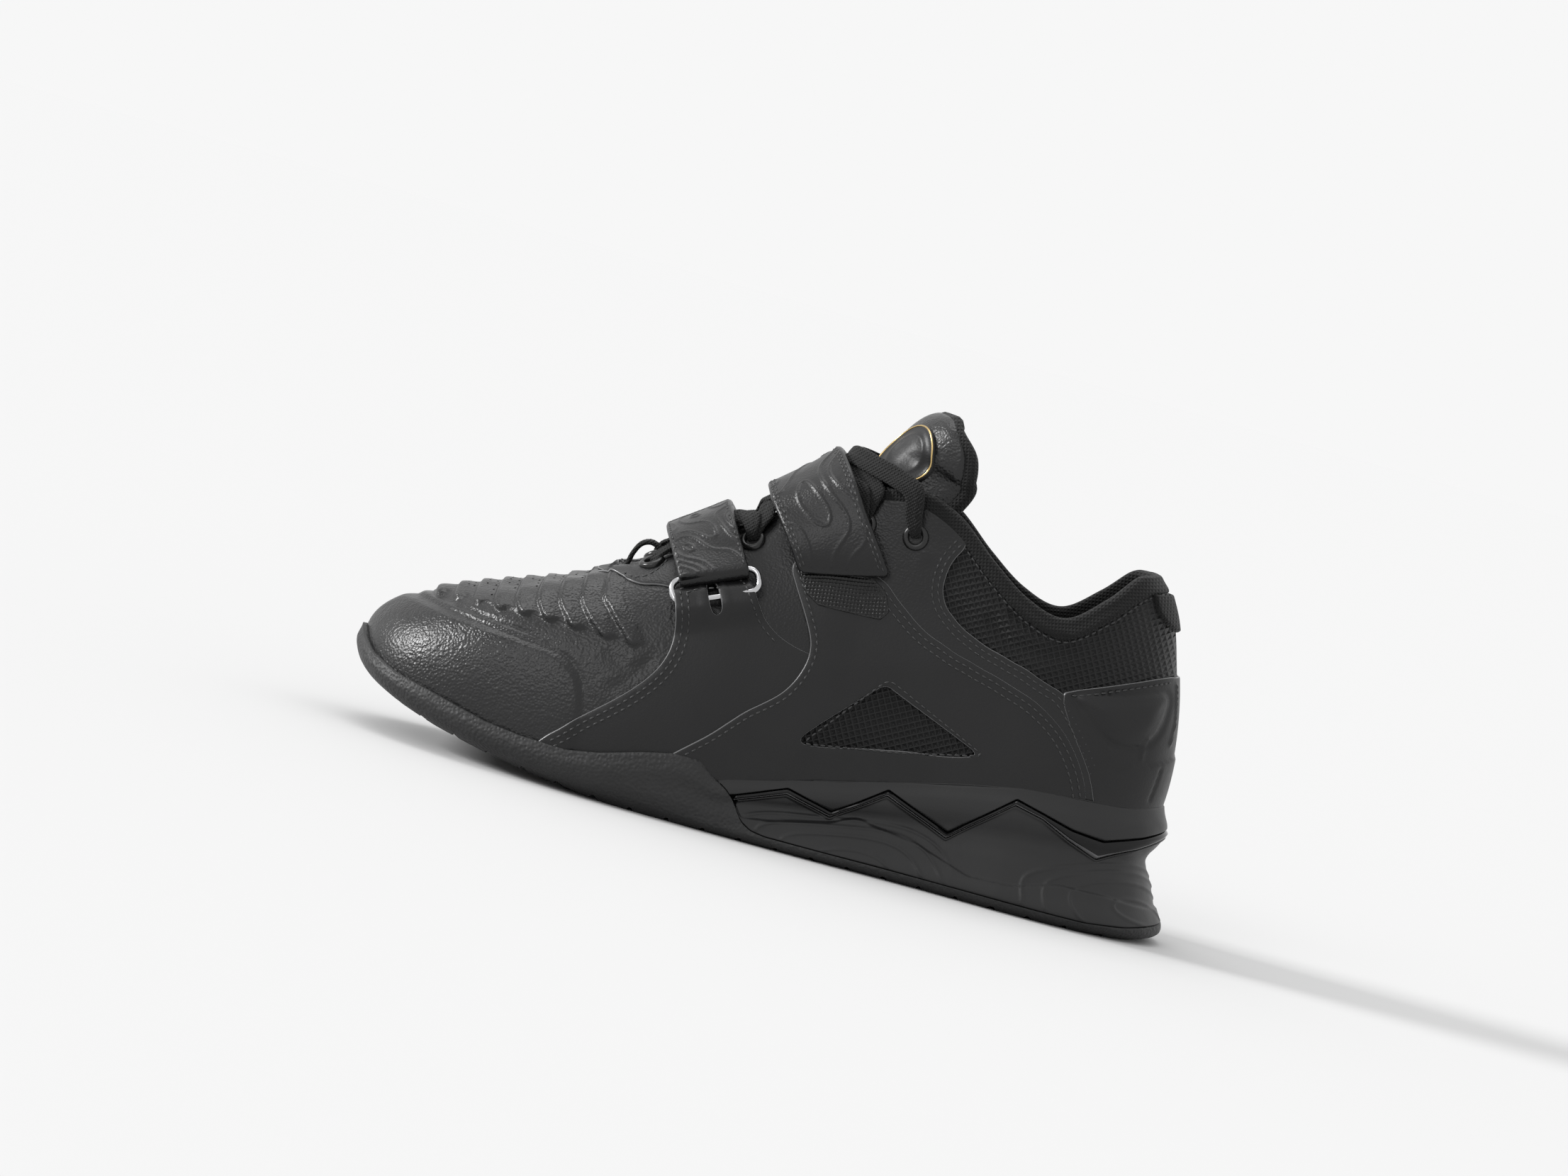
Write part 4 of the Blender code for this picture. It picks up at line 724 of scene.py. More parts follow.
def shell_part(name, q, v, paint):
    """A stretch of the upper: its outside, the roll at its rim and its lining."""
    qq, vv = np.meshgrid(q, v, indexing="ij")
    outer = skin(qq, vv, swell(qq, vv) * MM)
    rim = [skin(q, np.ones_like(q), np.full(len(q), drop * MM)) for drop in (-0.5, -1.4, -2.3)]
    qi, vi = np.meshgrid(q, np.linspace(0.99, 0.0, 22), indexing="ij")
    inner = skin(qi, vi, np.full(qi.shape, -UPPER_WALL))
    grid = np.concatenate([outer, np.stack(rim, 1), inner], 1)
    obj = grid_piece(name, grid, paint["leather"], flip=True)
    obj.data.materials.append(paint["mesh"])
    obj.data.materials.append(paint["lining"])
    columns = grid.shape[1] - 1
    place = np.arange(len(obj.data.polygons)) % columns
    x = (grid[:-1, :-1, 0] + grid[1:, 1:, 0]).ravel() / 2 / MM
    slots = np.where(place >= len(v) + 2, 2, np.where(x > -101.0, 1, 0))
    obj.data.polygons.foreach_set("material_index", slots.astype(np.int32))
    return obj


def build_shell(paint):
    """The upper as two shells, finer over the toe."""
    front = shell_part("vamp_shell", np.linspace(-9.0, 9.0, 433), np.linspace(0.0, 1.0, 160),
                       paint)
    rear = shell_part("collar_shell", np.linspace(9.0, LOOP - 9.0, 317),
                      np.linspace(0.0, 1.0, 88), paint)
    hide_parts("upper", "toe_ribs")
    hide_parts("upper")
    build_perforations(paint)


def build_perforations(paint):
    """Small punched holes in the hollows between the toe's ribs, each a flat near-black disc as
    painted shade for the hole.
    """
    qq, vv = np.meshgrid(np.linspace(-6.5, 6.5, 300), np.linspace(0.2, 0.97, 200), indexing="ij")
    point = last(qq, vv) / MM
    phase = rib_phase(point[..., 0], point[..., 2])
    turn = np.arange(10) * math.tau / 10
    verts, faces = [], []
    for k in range(1, 9):
        for step in range(-3, 4):
            y = 6.0 * step + 3.0 * (k % 2)
            for back in (0.0, 2.6):
                want = -180.2 - RIB_PITCH * (k - 1) - back
                miss = (phase - want) ** 2 + (point[..., 1] - y - back * 0.6) ** 2
                miss += 100.0 * (point[..., 2] < 56.0)
                i = np.unravel_index(np.argmin(miss), miss.shape)
                if miss[i] > 1.0 or (back and abs(y) > 10.0):
                    continue
                q, v = qq[i], vv[i]
                normal = last_normal(q, v)
                middle = skin(q, v, (float(swell(np.abs(q), v)) + 0.06) * MM)
                across = unit(np.cross(normal, (0.0, 1.0, 0.2)))
                other = np.cross(normal, across)
                first = len(verts)
                verts += [middle + (across * math.cos(a) + other * math.sin(a)) * PUNCH_RADIUS
                          for a in turn]
                faces.append(tuple(range(first, first + 10)))
    # Each disc is painted shade that stands in for the dark inside of a hole.
    mesh_piece("toe_perforations", verts, faces, paint["hollow"])


# Outlines of the sewn panels
STRAP_BASE = ((-188, 12), (-183.5, 18), (-180, 21), (-175, 26.5), (-170, 31), (-165, 35.5),
              (-160, 40.5), (-155, 46.5), (-152, 52), (-150.5, 58), (-151, 65), (-152.5, 70),
              (-155, 75.5), (-150, 80), (-140, 84), (-133, 87), (-129.5, 85), (-127, 81),
              (-124, 77.5), (-120, 74), (-115, 71), (-108, 69), (-100, 68), (-98, 60), (-104, 50),
              (-112, 45), (-122, 36), (-131, 26), (-138, 18), (-150, 14), (-170, 11))
QUARTER = ((-144, 20), (-140, 24), (-135, 28.5), (-130, 33), (-125, 38.5), (-120, 44), (-115, 48),
           (-110, 52.5), (-107, 57), (-105, 62), (-104, 67), (-104.5, 72), (-107, 77), (-110, 82),
           (-114, 88), (-119, 96), (-112, 101), (-98, 103), (-85, 99.5), (-80, 95), (-75, 91.5),
           (-70, 88), (-65, 85.5), (-60, 84), (-55, 82), (-50, 81), (-45, 79.5), (-40, 78.5),
           (-35, 77), (-30, 75.5), (-25, 74), (-20, 71.5), (-15, 68.5), (-10, 64.5), (-6, 60),
           (-3, 56), (0, 51), (2, 46), (3, 42), (-12, 41), (-30, 37.5), (-50, 33), (-70, 28),
           (-90, 22.5), (-110, 18), (-122, 15), (-134, 16))
WINDOW = ((-99.5, 38.6), (-98.5, 41.5), (-77.5, 63.5), (-75, 65), (-72, 63.6), (-42, 52.2),
          (-38.6, 50.4), (-41, 48.9), (-50, 46.5), (-60, 45.5), (-70, 43.5), (-80, 41.5),
          (-90, 39), (-96.5, 38.2))
COLLAR_EDGE = ((-61.5, 118), (-64.5, 113), (-65.5, 108), (-65.5, 102), (-63, 97), (-60, 94.5),
               (-55, 91), (-50, 89), (-45, 87), (-40, 86), (-35, 84.5), (-30, 83.5), (-25, 81.5),
               (-20, 80), (-16, 79), (-12, 76), (-8, 72), (-4, 67.5), (0, 63), (4, 57.5),
               (6.5, 53), (9.5, 46))
EYESTAY = ((-178, 76), (-168, 74.5), (-160, 77), (-152, 77), (-144, 75), (-134, 71), (-124, 67),
           (-112, 65), (-100, 67), (-92, 78), (-86, 86), (-78, 86), (-70, 82), (-60, 78),
           (-50, 75), (-40, 73), (-30, 70), (-22, 66), (-15, 61), (-9, 55), (-4, 48), (-1, 42.5),
           (9.8, 43)) + COLLAR_EDGE[::-1] + (
           (-62, 122), (-68, 127), (-78, 131.5), (-90, 132), (-104, 128), (-120, 120),
           (-136, 109), (-150, 99), (-164, 89), (-176, 81))
HOOK_PATCH = ((-116.5, 97), (-100, 98.5), (-85.5, 99), (-79.6, 86.2), (-95, 85.2), (-109.2, 84.6))
COUNTER = ((5, 44), (3, 49), (0.5, 54), (-3, 59), (-7, 64), (-11, 69.5), (-14.5, 75), (-15.5, 79),
           (-10, 81.5), (-5, 83.5), (0, 85.5), (5, 87.5), (10, 89.5), (15, 91.5), (20, 93))


def side_view(st):
    """Along and up in millimetres of unrolled places, seen from the side."""
    return last(*roll(st))[..., (0, 2)] / MM


def wrapped(points):
    """An open line seen from the outer side, carried round the heel to the inner side."""
    dense = resample(np.array(points, float), 0.9, False)
    outer = unroll(*locate(dense))
    q, v = locate(dense)
    inner = unroll(LOOP - q, v)
    return np.concatenate([outer, inner[::-1]])


def quarter_base(st):
    """The quarter's front laps over the strap base, its rear lies on the upper."""
    return 0.95 * (1.0 - ease(-104.0, -88.0, side_view(st)[..., 0]))


def quarter_relief(st):
    """Soft facets pressed into the quarter round its window."""
    x, z = np.moveaxis(side_view(st), -1, 0)
    ridge = 0.35 * np.exp(-((z - 0.34 * x - 98.0) / 7.0) ** 2)
    dip = -0.35 * np.exp(-(((x + 108.0) / 9.0) ** 2 + ((z - 60.0) / 16.0) ** 2))
    return ridge + dip


def counter_relief(st):
    """The padded lobe, the step and the upright ribs pressed into the heel counter."""
    q, v = roll(st)
    row = np.minimum(q, LOOP - q)
    point = last(row, v) / MM
    spots = np.stack([point[..., 0], point[..., 2]], -1)
    lobe = resample(chaikin(COUNTER_LOBE, 2), 0.8)
    gap = to_line(spots, lobe, True)
    gap = np.where(inside(spots, lobe), gap, -gap)
    out = 1.7 * ease(-0.3, 6.0, gap) + 0.5 * ease(-0.2, 0.9, gap)
    out -= 0.7 * np.exp(-((gap + 1.1) / 0.9) ** 2)
    step = np.interp(spots[:, 0], *np.array(COUNTER_STEP).T)
    out += 0.7 * ease(-0.6, 0.5, step - spots[:, 1]) * ease(1.0, 6.0, spots[:, 0])
    flat = unroll(row, v)
    for place, high, wide in COUNTER_LINES:
        line = resample(unroll(*locate(np.array(place))), 1.2, False)
        out += high * np.exp(-(to_line(flat, line) / wide) ** 2)
    return out


COUNTER_LOBE = ((-12.5, 79.3), (-7, 75.3), (-2, 71), (3, 67.6), (9, 66.4), (15, 67.6), (18.8, 71),
                (20.8, 77), (20.8, 87.6), (12, 85.3), (2, 82.3))
COUNTER_STEP = ((-5, 50), (2, 54.5), (6, 57), (9, 57.4), (14, 60.4), (20, 61.4), (26, 64), (30, 66))
COUNTER_LINES = (
    (((22.4, 90), (25.3, 78), (25.6, 70)), 0.7, 0.7),
    (((24.2, 61), (23.8, 55), (23.2, 50)), -0.6, 0.7),
    (((17, 70), (16.6, 66), (16.8, 63.5)), 0.5, 0.6),
    (((-7, 74), (-1, 69), (4.5, 64.6)), 0.5, 0.9),
)


RING_BAR = ((-152.8, 70.9), (-129.4, 80.4))


def strap_base_lift(st):
    """The strap's base rises over the lower bar of the ring."""
    gap = to_line(side_view(st), np.array(RING_BAR))
    return 5.0 * (1.0 - ease(1.6, 9.5, gap))


def hooks(st):
    """Rows of small hooks on the patch under the upper strap's end."""
    s, t = st[:, 0], st[:, 1]
    return 0.42 * np.cos((s + t) * math.tau / 2.6) * np.cos((s - t) * math.tau / 2.6)


def build_panels(paint, thread):
    """The sewn panels of both sides, the heel counter and the heel tab."""
    for side, label in ((-1, "outer"), (1, "inner")):
        obj = panel("strap_base_cover_" + label, on_side(chaikin(STRAP_BASE, 2), side),
                    OVERLAY_HEIGHT, paint["moulded"], relief=strap_base_relief,
                    base=strap_base_lift if side < 0 else 0.0,
                    holes=(on_side(chaikin(SLOT, 2), side),), edge=paint["edge"])
        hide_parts("strap_base_" + label)
        quarter = panel("quarter_cover_" + label, on_side(chaikin(QUARTER, 2), side),
                        OVERLAY_HEIGHT, paint["moulded"], base=quarter_base, relief=quarter_relief,
                        holes=(on_side(chaikin(WINDOW, 1), side),),
                        edge=paint["edge"])
        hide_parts("quarter_" + label)
        panel("eyestay_" + label, on_side(chaikin(EYESTAY, 2), side), EYESTAY_HEIGHT,
              paint["strap"], edge=paint["edge"])
        if side < 0:
            panel("hook_patch", on_side(chaikin(HOOK_PATCH, 1), side), 0.45, paint["hook"],
                  base=lambda st: quarter_base(st) + 1.12, step=0.34, relief=hooks)
        for carrier, line, closed in SIDE_STITCHES:
            spots = unroll(*locate(resample(chaikin(line, 2, closed), 0.8, closed), side))
            lift = STITCH_LIFT[carrier]
            if carrier == "quarter":
                lift = lift + quarter_base(spots) + quarter_relief(spots)
            if carrier == "strap base" and side < 0:
                lift = lift + strap_base_lift(spots)
            q, v = roll(spots)
            thread.along(skin(q, v, (lift + swell(q, v)) * MM), last_normal(q, v), closed)
    counter = panel("counter", wrapped(COUNTER), 1.0, paint["moulded"], relief=counter_relief,
                    step=1.1, edge=paint["edge"])
    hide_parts("heel_counter")
    tab = panel("heel_tab_knit", wrapped(HEEL_TAB), 1.5, paint["knit"], base=0.3, step=1.2)
    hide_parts("heel_tab")
    q, v = roll(wrapped(COUNTER_STITCHES))
    thread.along(skin(q, v, (STITCH_LIFT["counter"] + swell(q, v)) * MM), last_normal(q, v))


SLOT = ((-144.6, 80.6), (-142.4, 81.8), (-139.9, 79.4), (-136.7, 73.4), (-137.4, 71.4),
        (-139.6, 71.2), (-141.4, 73.6))
HEEL_TAB = ((5, 119), (8, 113.5), (12, 110), (17.5, 107.5))


# Heights of the sewn layers in millimetres
OVERLAY_HEIGHT = 1.15
EYESTAY_HEIGHT = 0.75


def strap_base_relief(st):
    """A raised rim pressed round the slot."""
    gap = to_line(side_view(st), resample(chaikin(SLOT, 2), 0.6), True)
    return 0.45 * np.exp(-((gap - 2.2) / 0.7) ** 2)


def shifted(points, distance, closed=False):
    """A plane line moved to its left by millimetres."""
    even = resample(np.array(points, float), 1.5, closed)
    return offset(even, distance, closed)


# Rows of stitches: what they lie on, their line from the side and whether it is closed
STITCH_LIFT = {"strap base": 1.22, "quarter": 1.24, "eyestay": 0.80, "counter": 1.08}
_front = STRAP_BASE[1:15]
_quarter_front = QUARTER[1:17]
_quarter_rear = QUARTER[18:38]
SIDE_STITCHES = (
    ("strap base", shifted(_front, -2.4), False),
    ("strap base", shifted(_front, -4.6), False),
    ("strap base", shifted(((-133, 87), (-129.5, 85), (-127, 81), (-124, 77.5), (-120, 74),
                            (-115, 71)), -2.4), False),
    ("quarter", shifted(_quarter_front, -2.3), False),
    ("quarter", shifted(_quarter_rear, -2.2), False),
    ("quarter", shifted(_quarter_rear, -4.6), False),
    ("quarter", shifted(((-98.5, 38.2), (-75, 67.3), (-36, 50.6), (-66, 43.5)), 0.0, True), True),
    ("eyestay", shifted(COLLAR_EDGE[:-1], -1.9), False),
    ("eyestay", shifted(COLLAR_EDGE[:-1], -4.0), False),
    ("eyestay", ((-176.5, 78), (-174.5, 76.2), (-168, 76.4), (-163, 80), (-160, 85)), False),
)
COUNTER_STITCHES = ((-12.8, 78.6), (-9, 79.6), (-4, 81.5), (1, 83.6), (6, 85.6), (11, 87.6),
                    (16, 89.6), (20, 91))


BINDING_HEIGHT = 0.85


def build_binding(paint, thread):
    """The knit edge that wraps the rim of the collar and the throat."""
    q = np.linspace(4.9, LOOP - 4.9, 620)
    row = np.minimum(q, LOOP - q)
    reach = 1.6 + 3.6 * ease(11.0, 14.5, row)
    rim = last(q, 1.0)
    n = last_normal(q, 1.0)
    u = unit(last(q, 1.0) - last(q, 0.97))
    length = np.interp(q, _q, RIB_LENGTH)
    rows = []
    for share, up in ((1.0, -0.3), (1.0, 0.25), (0.96, 0.66), (0.86, 0.92), (0.7, 1.0),
                      (0.5, 1.0), (0.3, 1.0), (0.12, 1.0)):
        v = 1.0 - reach * share / length
        rows.append(skin(q, v, (swell(q, v) + BINDING_HEIGHT * up) * MM))
    top = swell(q, np.ones_like(q)) + BINDING_HEIGHT
    half = (UPPER_WALL / MM + top + 0.5) / 2.0
    middle = rim + n * ((top - half) * MM)[:, None]
    for turn in np.radians((0, 25, 50, 75, 100, 125, 150, 180)):
        rows.append(middle + n * (half * math.cos(turn) * MM)[:, None]
                    + u * (half * 0.9 * math.sin(turn) * MM)[:, None])
    for depth in (0.3, 0.7, 1.0):
        v = 1.0 - reach * depth / length
        rows.append(skin(q, v, np.full(len(q), -UPPER_WALL - 0.5 * MM * (depth < 1.0))))
    grid = np.stack(rows, 1)
    grid_piece("collar_binding", grid, paint["knit"], flip=True)
    v = 1.0 - (reach + 0.9) / length
    thread.along(skin(q, v, (swell(q, v) + 0.05) * MM)[150:-150], last_normal(q, v)[150:-150])


# Straps, ring, tongue and laces


STAY_STEP = 0.0009
STRAP_SEAT = GAP + 0.0012 + GAP
STRAP_WALL = 0.0020
LACE_THICKNESS = 0.0014
LACE_SEAT = 3.8 * GAP + STAY_STEP
LACE_BED = LACE_SEAT + 2.0 * GAP + 1.45 * LACE_THICKNESS
RING_WIRE = 0.0011
FOLD_RADIUS = RING_WIRE + GAP + STRAP_WALL / 2
UNDER_HEIGHT = STRAP_SEAT + STRAP_WALL / 2
BAR_HEIGHT = UNDER_HEIGHT + FOLD_RADIUS


def crest(row):
    """The crest of the instep over the throat."""
    along = np.interp(row, CRESTS[:, 0], CRESTS[:, 1])
    up = np.interp(row, CRESTS[:, 0], CRESTS[:, 2])
    return np.stack([TOE_TIP + along * LENGTH, 0 * along, up * INSTEP_HEIGHT], -1)


def arch(row, side, way):
    """Up the rib for a way below 1, and over the throat from 1 to the crest at 2."""
    row, side, way = np.broadcast_arrays(*(np.asarray(k, float) for k in (row, side, way)))
    q = np.where(side < 0, row, LOOP - row)
    edge = last(q, np.minimum(way, 1.0))
    share = np.clip(way - 1.0, 0.0, 1.0)
    top = crest(row)
    fall = ((1.0 - share) ** 2)[..., None]
    lid = top + (edge - top) * fall
    lid[..., 1] = edge[..., 1] * (1.0 - share)
    return np.where((way > 1.0)[..., None], lid, edge)


def arch_normal(row, side, way):
    """Direction out of the instep, its upper side up."""
    across = arch(row, side, np.minimum(way + 0.04, 2.0)) - arch(row, side, way - 0.04)
    along = arch(row + 0.04, side, way) - arch(row - 0.04, side, way)
    normal = unit(np.cross(across, along))
    return np.where(normal[..., 2:] < 0, -normal, normal)


def surface_tree(*grids):
    """A search tree over grids of points, for rays."""
    verts, faces, count = [], [], 0
    for grid in grids:
        verts.append(grid.reshape(-1, 3))
        faces.append(grid_faces(*grid.shape[:2], start=count))
        count += verts[-1].shape[0]
    return BVHTree.FromPolygons([Vector(p) for p in np.concatenate(verts)],
                                [list(map(int, f)) for f in np.concatenate(faces)])


def instep_tree():
    """The last with the instep arched over the throat, for rays."""
    rows = np.linspace(4, 13, 91)[:, None]
    ways = np.linspace(1, 2, 19)[None]
    wall = last(np.linspace(0, LOOP, 421)[:, None], np.linspace(0, 1, 61)[None])
    return surface_tree(wall, arch(rows, -1, ways), arch(rows, 1, ways))


def sample(grid, a, b):
    """A grid of points read smoothly at fractional rows and columns."""
    for _ in range(2):
        first, final = 2 * grid[:1] - grid[1:2], 2 * grid[-1:] - grid[-2:-1]
        grid = np.swapaxes(np.concatenate([first, grid, final]), 0, 1)
    a, b = np.broadcast_arrays(np.asarray(a, float), np.asarray(b, float))
    out = 0.0
    taps = []
    for at, count in ((a, grid.shape[0] - 2), (b, grid.shape[1] - 2)):
        base = np.clip(np.floor(at).astype(int), 0, count - 2)
        t = at - base
        taps.append((base, (-0.5 * t + t * t - 0.5 * t ** 3, 1 - 2.5 * t * t + 1.5 * t ** 3,
                            0.5 * t + 2 * t * t - 1.5 * t ** 3, -0.5 * t * t + 0.5 * t ** 3)))
    (ai, aw), (bi, bw) = taps
    for i in range(4):
        for j in range(4):
            out = out + (aw[i] * bw[j])[..., None] * grid[ai + i, bi + j]
    return out


def sample_normal(grid, a, b):
    """Normals of a grid of points at fractional rows and columns."""
    step = 0.02
    along = sample(grid, a + step, b) - sample(grid, a - step, b)
    across = sample(grid, a, b + step) - sample(grid, a, b - step)
    return unit(np.cross(along, across))


def levels(field, s, w, step, width, height):
    """Ridges of even width along the level lines of a field, all in millimetres."""
    here = field(s, w)
    slope = np.hypot((field(s + 0.1, w) - here) / 0.1, (field(s, w + 0.1) - here) / 0.1)
    gap = np.abs((here / step + 0.5) % 1.0 - 0.5) * step / np.maximum(slope, 0.12)
    return height * np.exp(-(gap / width) ** 2)


def band(name, grid, thickness, material, relief=None, under_relief=None, pitch=0.4,
         columns=60, corners=(0.0, 0.0)):
    """A flat strip with rounded edges and corners along the middle surface given by a grid."""
    count, wide = grid.shape[0], grid.shape[1] - 1
    fine = np.linspace(0, count - 1, count * 12)
    spine = sample(grid, fine, wide / 2)
    run = run_along(spine) / MM
    edge = sample(grid, fine, 0.0), sample(grid, fine, float(wide))
    half = np.linalg.norm(edge[0] - edge[1], axis=1).mean() / 2 / MM
    total = run[-1]
    s = np.linspace(0.0, total, int(total / pitch))
    a = np.interp(s, run, fine)
    narrow = np.ones_like(s)
    for radius, from_end in ((corners[0], s), (corners[1], total - s)):
        if radius:
            near = np.clip(radius - from_end, 0.0, radius)
            narrow = np.minimum(narrow, (half - radius + np.sqrt(radius ** 2 - near ** 2)) / half)
    thick = thickness / MM / 2
    end = np.minimum(1.0, np.minimum(s, total - s) / thick)
    round_end = np.sqrt(np.maximum(1 - (1 - end) ** 2, 0.02))
    turn = np.radians(np.linspace(90, 270, 7))[1:-1]
    body = 1.0 - thick / half
    top = np.linspace(body, -body, columns)
    low = np.linspace(-body, body, max(columns // (1 if under_relief else 4), 4))
    c = np.concatenate([top, -body + np.cos(turn) * thick / half, low,
                        body - np.cos(turn) * thick / half])
    up = np.concatenate([np.ones(columns), np.sin(turn), -np.ones(len(low)), -np.sin(turn)])
    cc = c[None] * narrow[:, None]
    uu = up[None] * round_end[:, None] * thick
    soft = ease(0.0, 0.9, half * narrow[:, None] * (1 - np.abs(c[None])) + 0 * cc)
    for pressed, face in ((relief, 1.0), (under_relief, -1.0)):
        if pressed is not None:
            lift = pressed(s[:, None] + 0 * cc, cc * half) * soft * face
            uu = uu + np.where(up[None] * face > 0.99, lift, 0.0)
    b = (cc + 1) * wide / 2
    aa = a[:, None] + 0 * b
    ring = sample(grid, aa, b) + sample_normal(grid, aa, b) * (uu * MM)[..., None]
    obj = grid_piece(name, ring, material, wrap=True)
    return obj, (s, a, half, wide)


def band_line(grid, made, share_gap, lift, from_s=0.0, to_s=None, side=1):
    """Points and normals along a strip, a gap in millimetres inside one edge."""
    s, a, half, wide = made
    keep = (s >= from_s) & (s <= (to_s if to_s is not None else s[-1]))
    b = (1 + side * (1 - share_gap / half)) * wide / 2
    at = a[keep]
    points = sample(grid, at, np.full(len(at), b))
    normals = sample_normal(grid, at, np.full(len(at), b))
    return points + normals * lift * MM, normals * np.sign(lift)


LOWER_STRAP = dict(hub=(0.430, 0.458), lean=0.2326, half=0.0404, lace_turn=44.0)
UPPER_STRAP = dict(hub=(0.559, 0.651), lean=0.3015, half=0.0497, lace_turn=22.0)


def strap_rows(tree, strap, turns, skew=0.0, columns=9):
    """Seats of a strap on the instep, a row for each turn, and their normals."""
    up = Vector((-strap["lean"] * LENGTH, 0.0, INSTEP_HEIGHT)).normalized()
    along = Vector((up.z, 0.0, -up.x))
    hub = Vector((TOE_TIP + strap["hub"][0] * LENGTH, 0.0, strap["hub"][1] * INSTEP_HEIGHT))
    grid = []
    for turn in turns:
        row = []
        for k in range(columns):
            share = 2.0 * k / (columns - 1) - 1.0
            tail = max(0.0, 1.0 - abs(turn - turns[0]) / 60.0)
            angle = math.radians(turn + skew * share * tail)
            ray = Vector((0.0, -math.cos(angle), 0.0)) + up * math.sin(angle)
            start = hub + along * share * strap["half"] * LENGTH
            row.append(tree.ray_cast(start, ray)[0])
        grid.append(row)
    grid = np.array([[tuple(p) for p in row] for row in grid])
    across = np.gradient(grid, axis=1)
    down = np.gradient(grid, axis=0)
    normals = unit(np.cross(across, down))
    flip = np.sign(((grid - np.array(hub)) * normals).sum(-1, keepdims=True))
    return grid, normals * flip


def lace_lift(strap, turns):
    """Share of the laces' height that a strap rises by, for each turn."""
    turns = np.asarray(turns)
    return ease(strap["lace_turn"], strap["lace_turn"] + 20.0, np.minimum(turns, 180.0 - turns))


def strap_field(s, w):
    """A hilly field for the pressed contour lines of the upper strap."""
    return (9.0 * np.exp(-(((s - 26) / 15) ** 2 + ((w - 2) / 8) ** 2))
            + 6.5 * np.exp(-(((s - 62) / 17) ** 2 + ((w + 7) / 9) ** 2))
            + 7.0 * np.exp(-(((s - 104) / 20) ** 2 + ((w - 5) / 10) ** 2))
            + 1.3 * np.sin(s / 6.1 + w / 5.0) + 1.0 * np.sin(w / 3.7 - s / 9.0) + w / 9.0)


def lower_field(s, w):
    """A hilly field for the pressed contour lines of the lower strap."""
    return (5.5 * np.exp(-(((s - 16) / 9) ** 2 + ((w + 5) / 7) ** 2))
            + 1.7 * np.sin(s / 4.6 + w / 6.0) + 1.2 * np.sin(w / 3.4 - s / 8.0 + 1.0) + w / 4.2)


# Turns of the straps' rows round the instep, in degrees, and the skew of the upper one's end
LOWER_TURNS = [40.0 + 11.0 * k for k in range(16)]
UPPER_TURNS = [25.0 + 10.5 * k for k in range(17)]
UPPER_SKEW = -9.0
LOWER_THICKNESS = 0.0020
UPPER_THICKNESS = 0.0022


def build_lower_strap(paint, thread, tree):
    """The strap through the ring: pressed contour lines, its end turned back, stitched edges."""
    seats, normals = strap_rows(tree, LOWER_STRAP, LOWER_TURNS)
    lift = UNDER_HEIGHT + (LACE_BED - STRAP_SEAT) * lace_lift(LOWER_STRAP, LOWER_TURNS)
    rows = [seats[i] + normals[i] * lift[i] for i in range(15, 0, -1)]
    normal = normals[0, 4]
    along = unit(seats[0, -1] - seats[0, 0])
    up = np.cross(normal, along)
    up = up if up[2] > 0 else -up
    middle = seats[0, 4] + normal * BAR_HEIGHT
    half = LOWER_STRAP["half"] * LENGTH
    bar = middle + along * (np.arange(9) - 4)[:, None] / 4 * half
    for angle in np.radians(np.arange(0, 181, 36)):
        rows.append(bar - normal * FOLD_RADIUS * math.cos(angle)
                    - up * FOLD_RADIUS * math.sin(angle))
    under_rows = len(rows)
    for i in range(1, 8):
        close = ease(0.0, 2.4, i)
        top = ((BAR_HEIGHT + FOLD_RADIUS) * (1 - close)
               + (lift[i] + STRAP_WALL + GAP) * close)
        rows.append(seats[i] + normals[i] * top)
    grid = np.array(rows)
    facing = sample_normal(grid, 3.0, 4.0) @ normals[12, 4]
    if facing < 0:
        grid = grid[:, ::-1]
    fold = {}

    def outer(s, w):
        return levels(lower_field, s, w, 2.2, 0.42, 0.34) * (s < fold["s"] - 4)

    def tail(s, w):
        return levels(lower_field, s - fold["s"], w, 2.2, 0.42, 0.34) * (s > fold["s"] + 3.0)

    fine = np.linspace(0, len(rows) - 1, 400)
    run = run_along(sample(grid, fine, 4.0)) / MM
    fold["s"] = np.interp(under_rows - 3.5, fine, run)
    obj, made = band("lower_strap_cover", grid, LOWER_THICKNESS, paint["strap"], relief=outer,
                     under_relief=tail, pitch=0.46, columns=52, corners=(3.0, 3.0))
    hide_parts("lower_strap")
    for side in (-1, 1):
        thread.along(*band_line(grid, made, 1.3, -1.05, from_s=fold["s"] + 3.5, side=side))
        thread.along(*band_line(grid, made, 1.3, 1.05, to_s=fold["s"] - 6, side=side))
    build_ring(paint, middle, along, up, normal)


def build_upper_strap(paint, thread, tree):
    """The strap that ends on the quarter, over the lower one and the laces."""
    seats, normals = strap_rows(tree, UPPER_STRAP, UPPER_TURNS, skew=UPPER_SKEW)
    lift = UNDER_HEIGHT + (LACE_BED + STRAP_WALL - STRAP_SEAT) * lace_lift(UPPER_STRAP,
                                                                           UPPER_TURNS)
    grid = seats + normals * lift[:, None, None]
    if sample_normal(grid, 3.0, 4.0) @ normals[3, 4] < 0:
        grid = grid[:, ::-1]

    def contours(s, w):
        return levels(strap_field, s, w, 3.0, 0.42, 0.36) * ease(2.4, 3.4, s)

    obj, made = band("upper_strap_cover", grid, UPPER_THICKNESS, paint["strap"], relief=contours,
                     pitch=0.46, columns=60, corners=(2.6, 3.0))
    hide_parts("upper_strap")
    for side in (-1, 1):
        thread.along(*band_line(grid, made, 1.5, 1.12, from_s=1.5, side=side))
        thread.along(*band_line(grid, made, 2.7, 1.12, from_s=2.5, side=side))


RING_LENGTH = 0.0325
RING_DEPTH = 0.0110
RING_CORNER = 0.0034


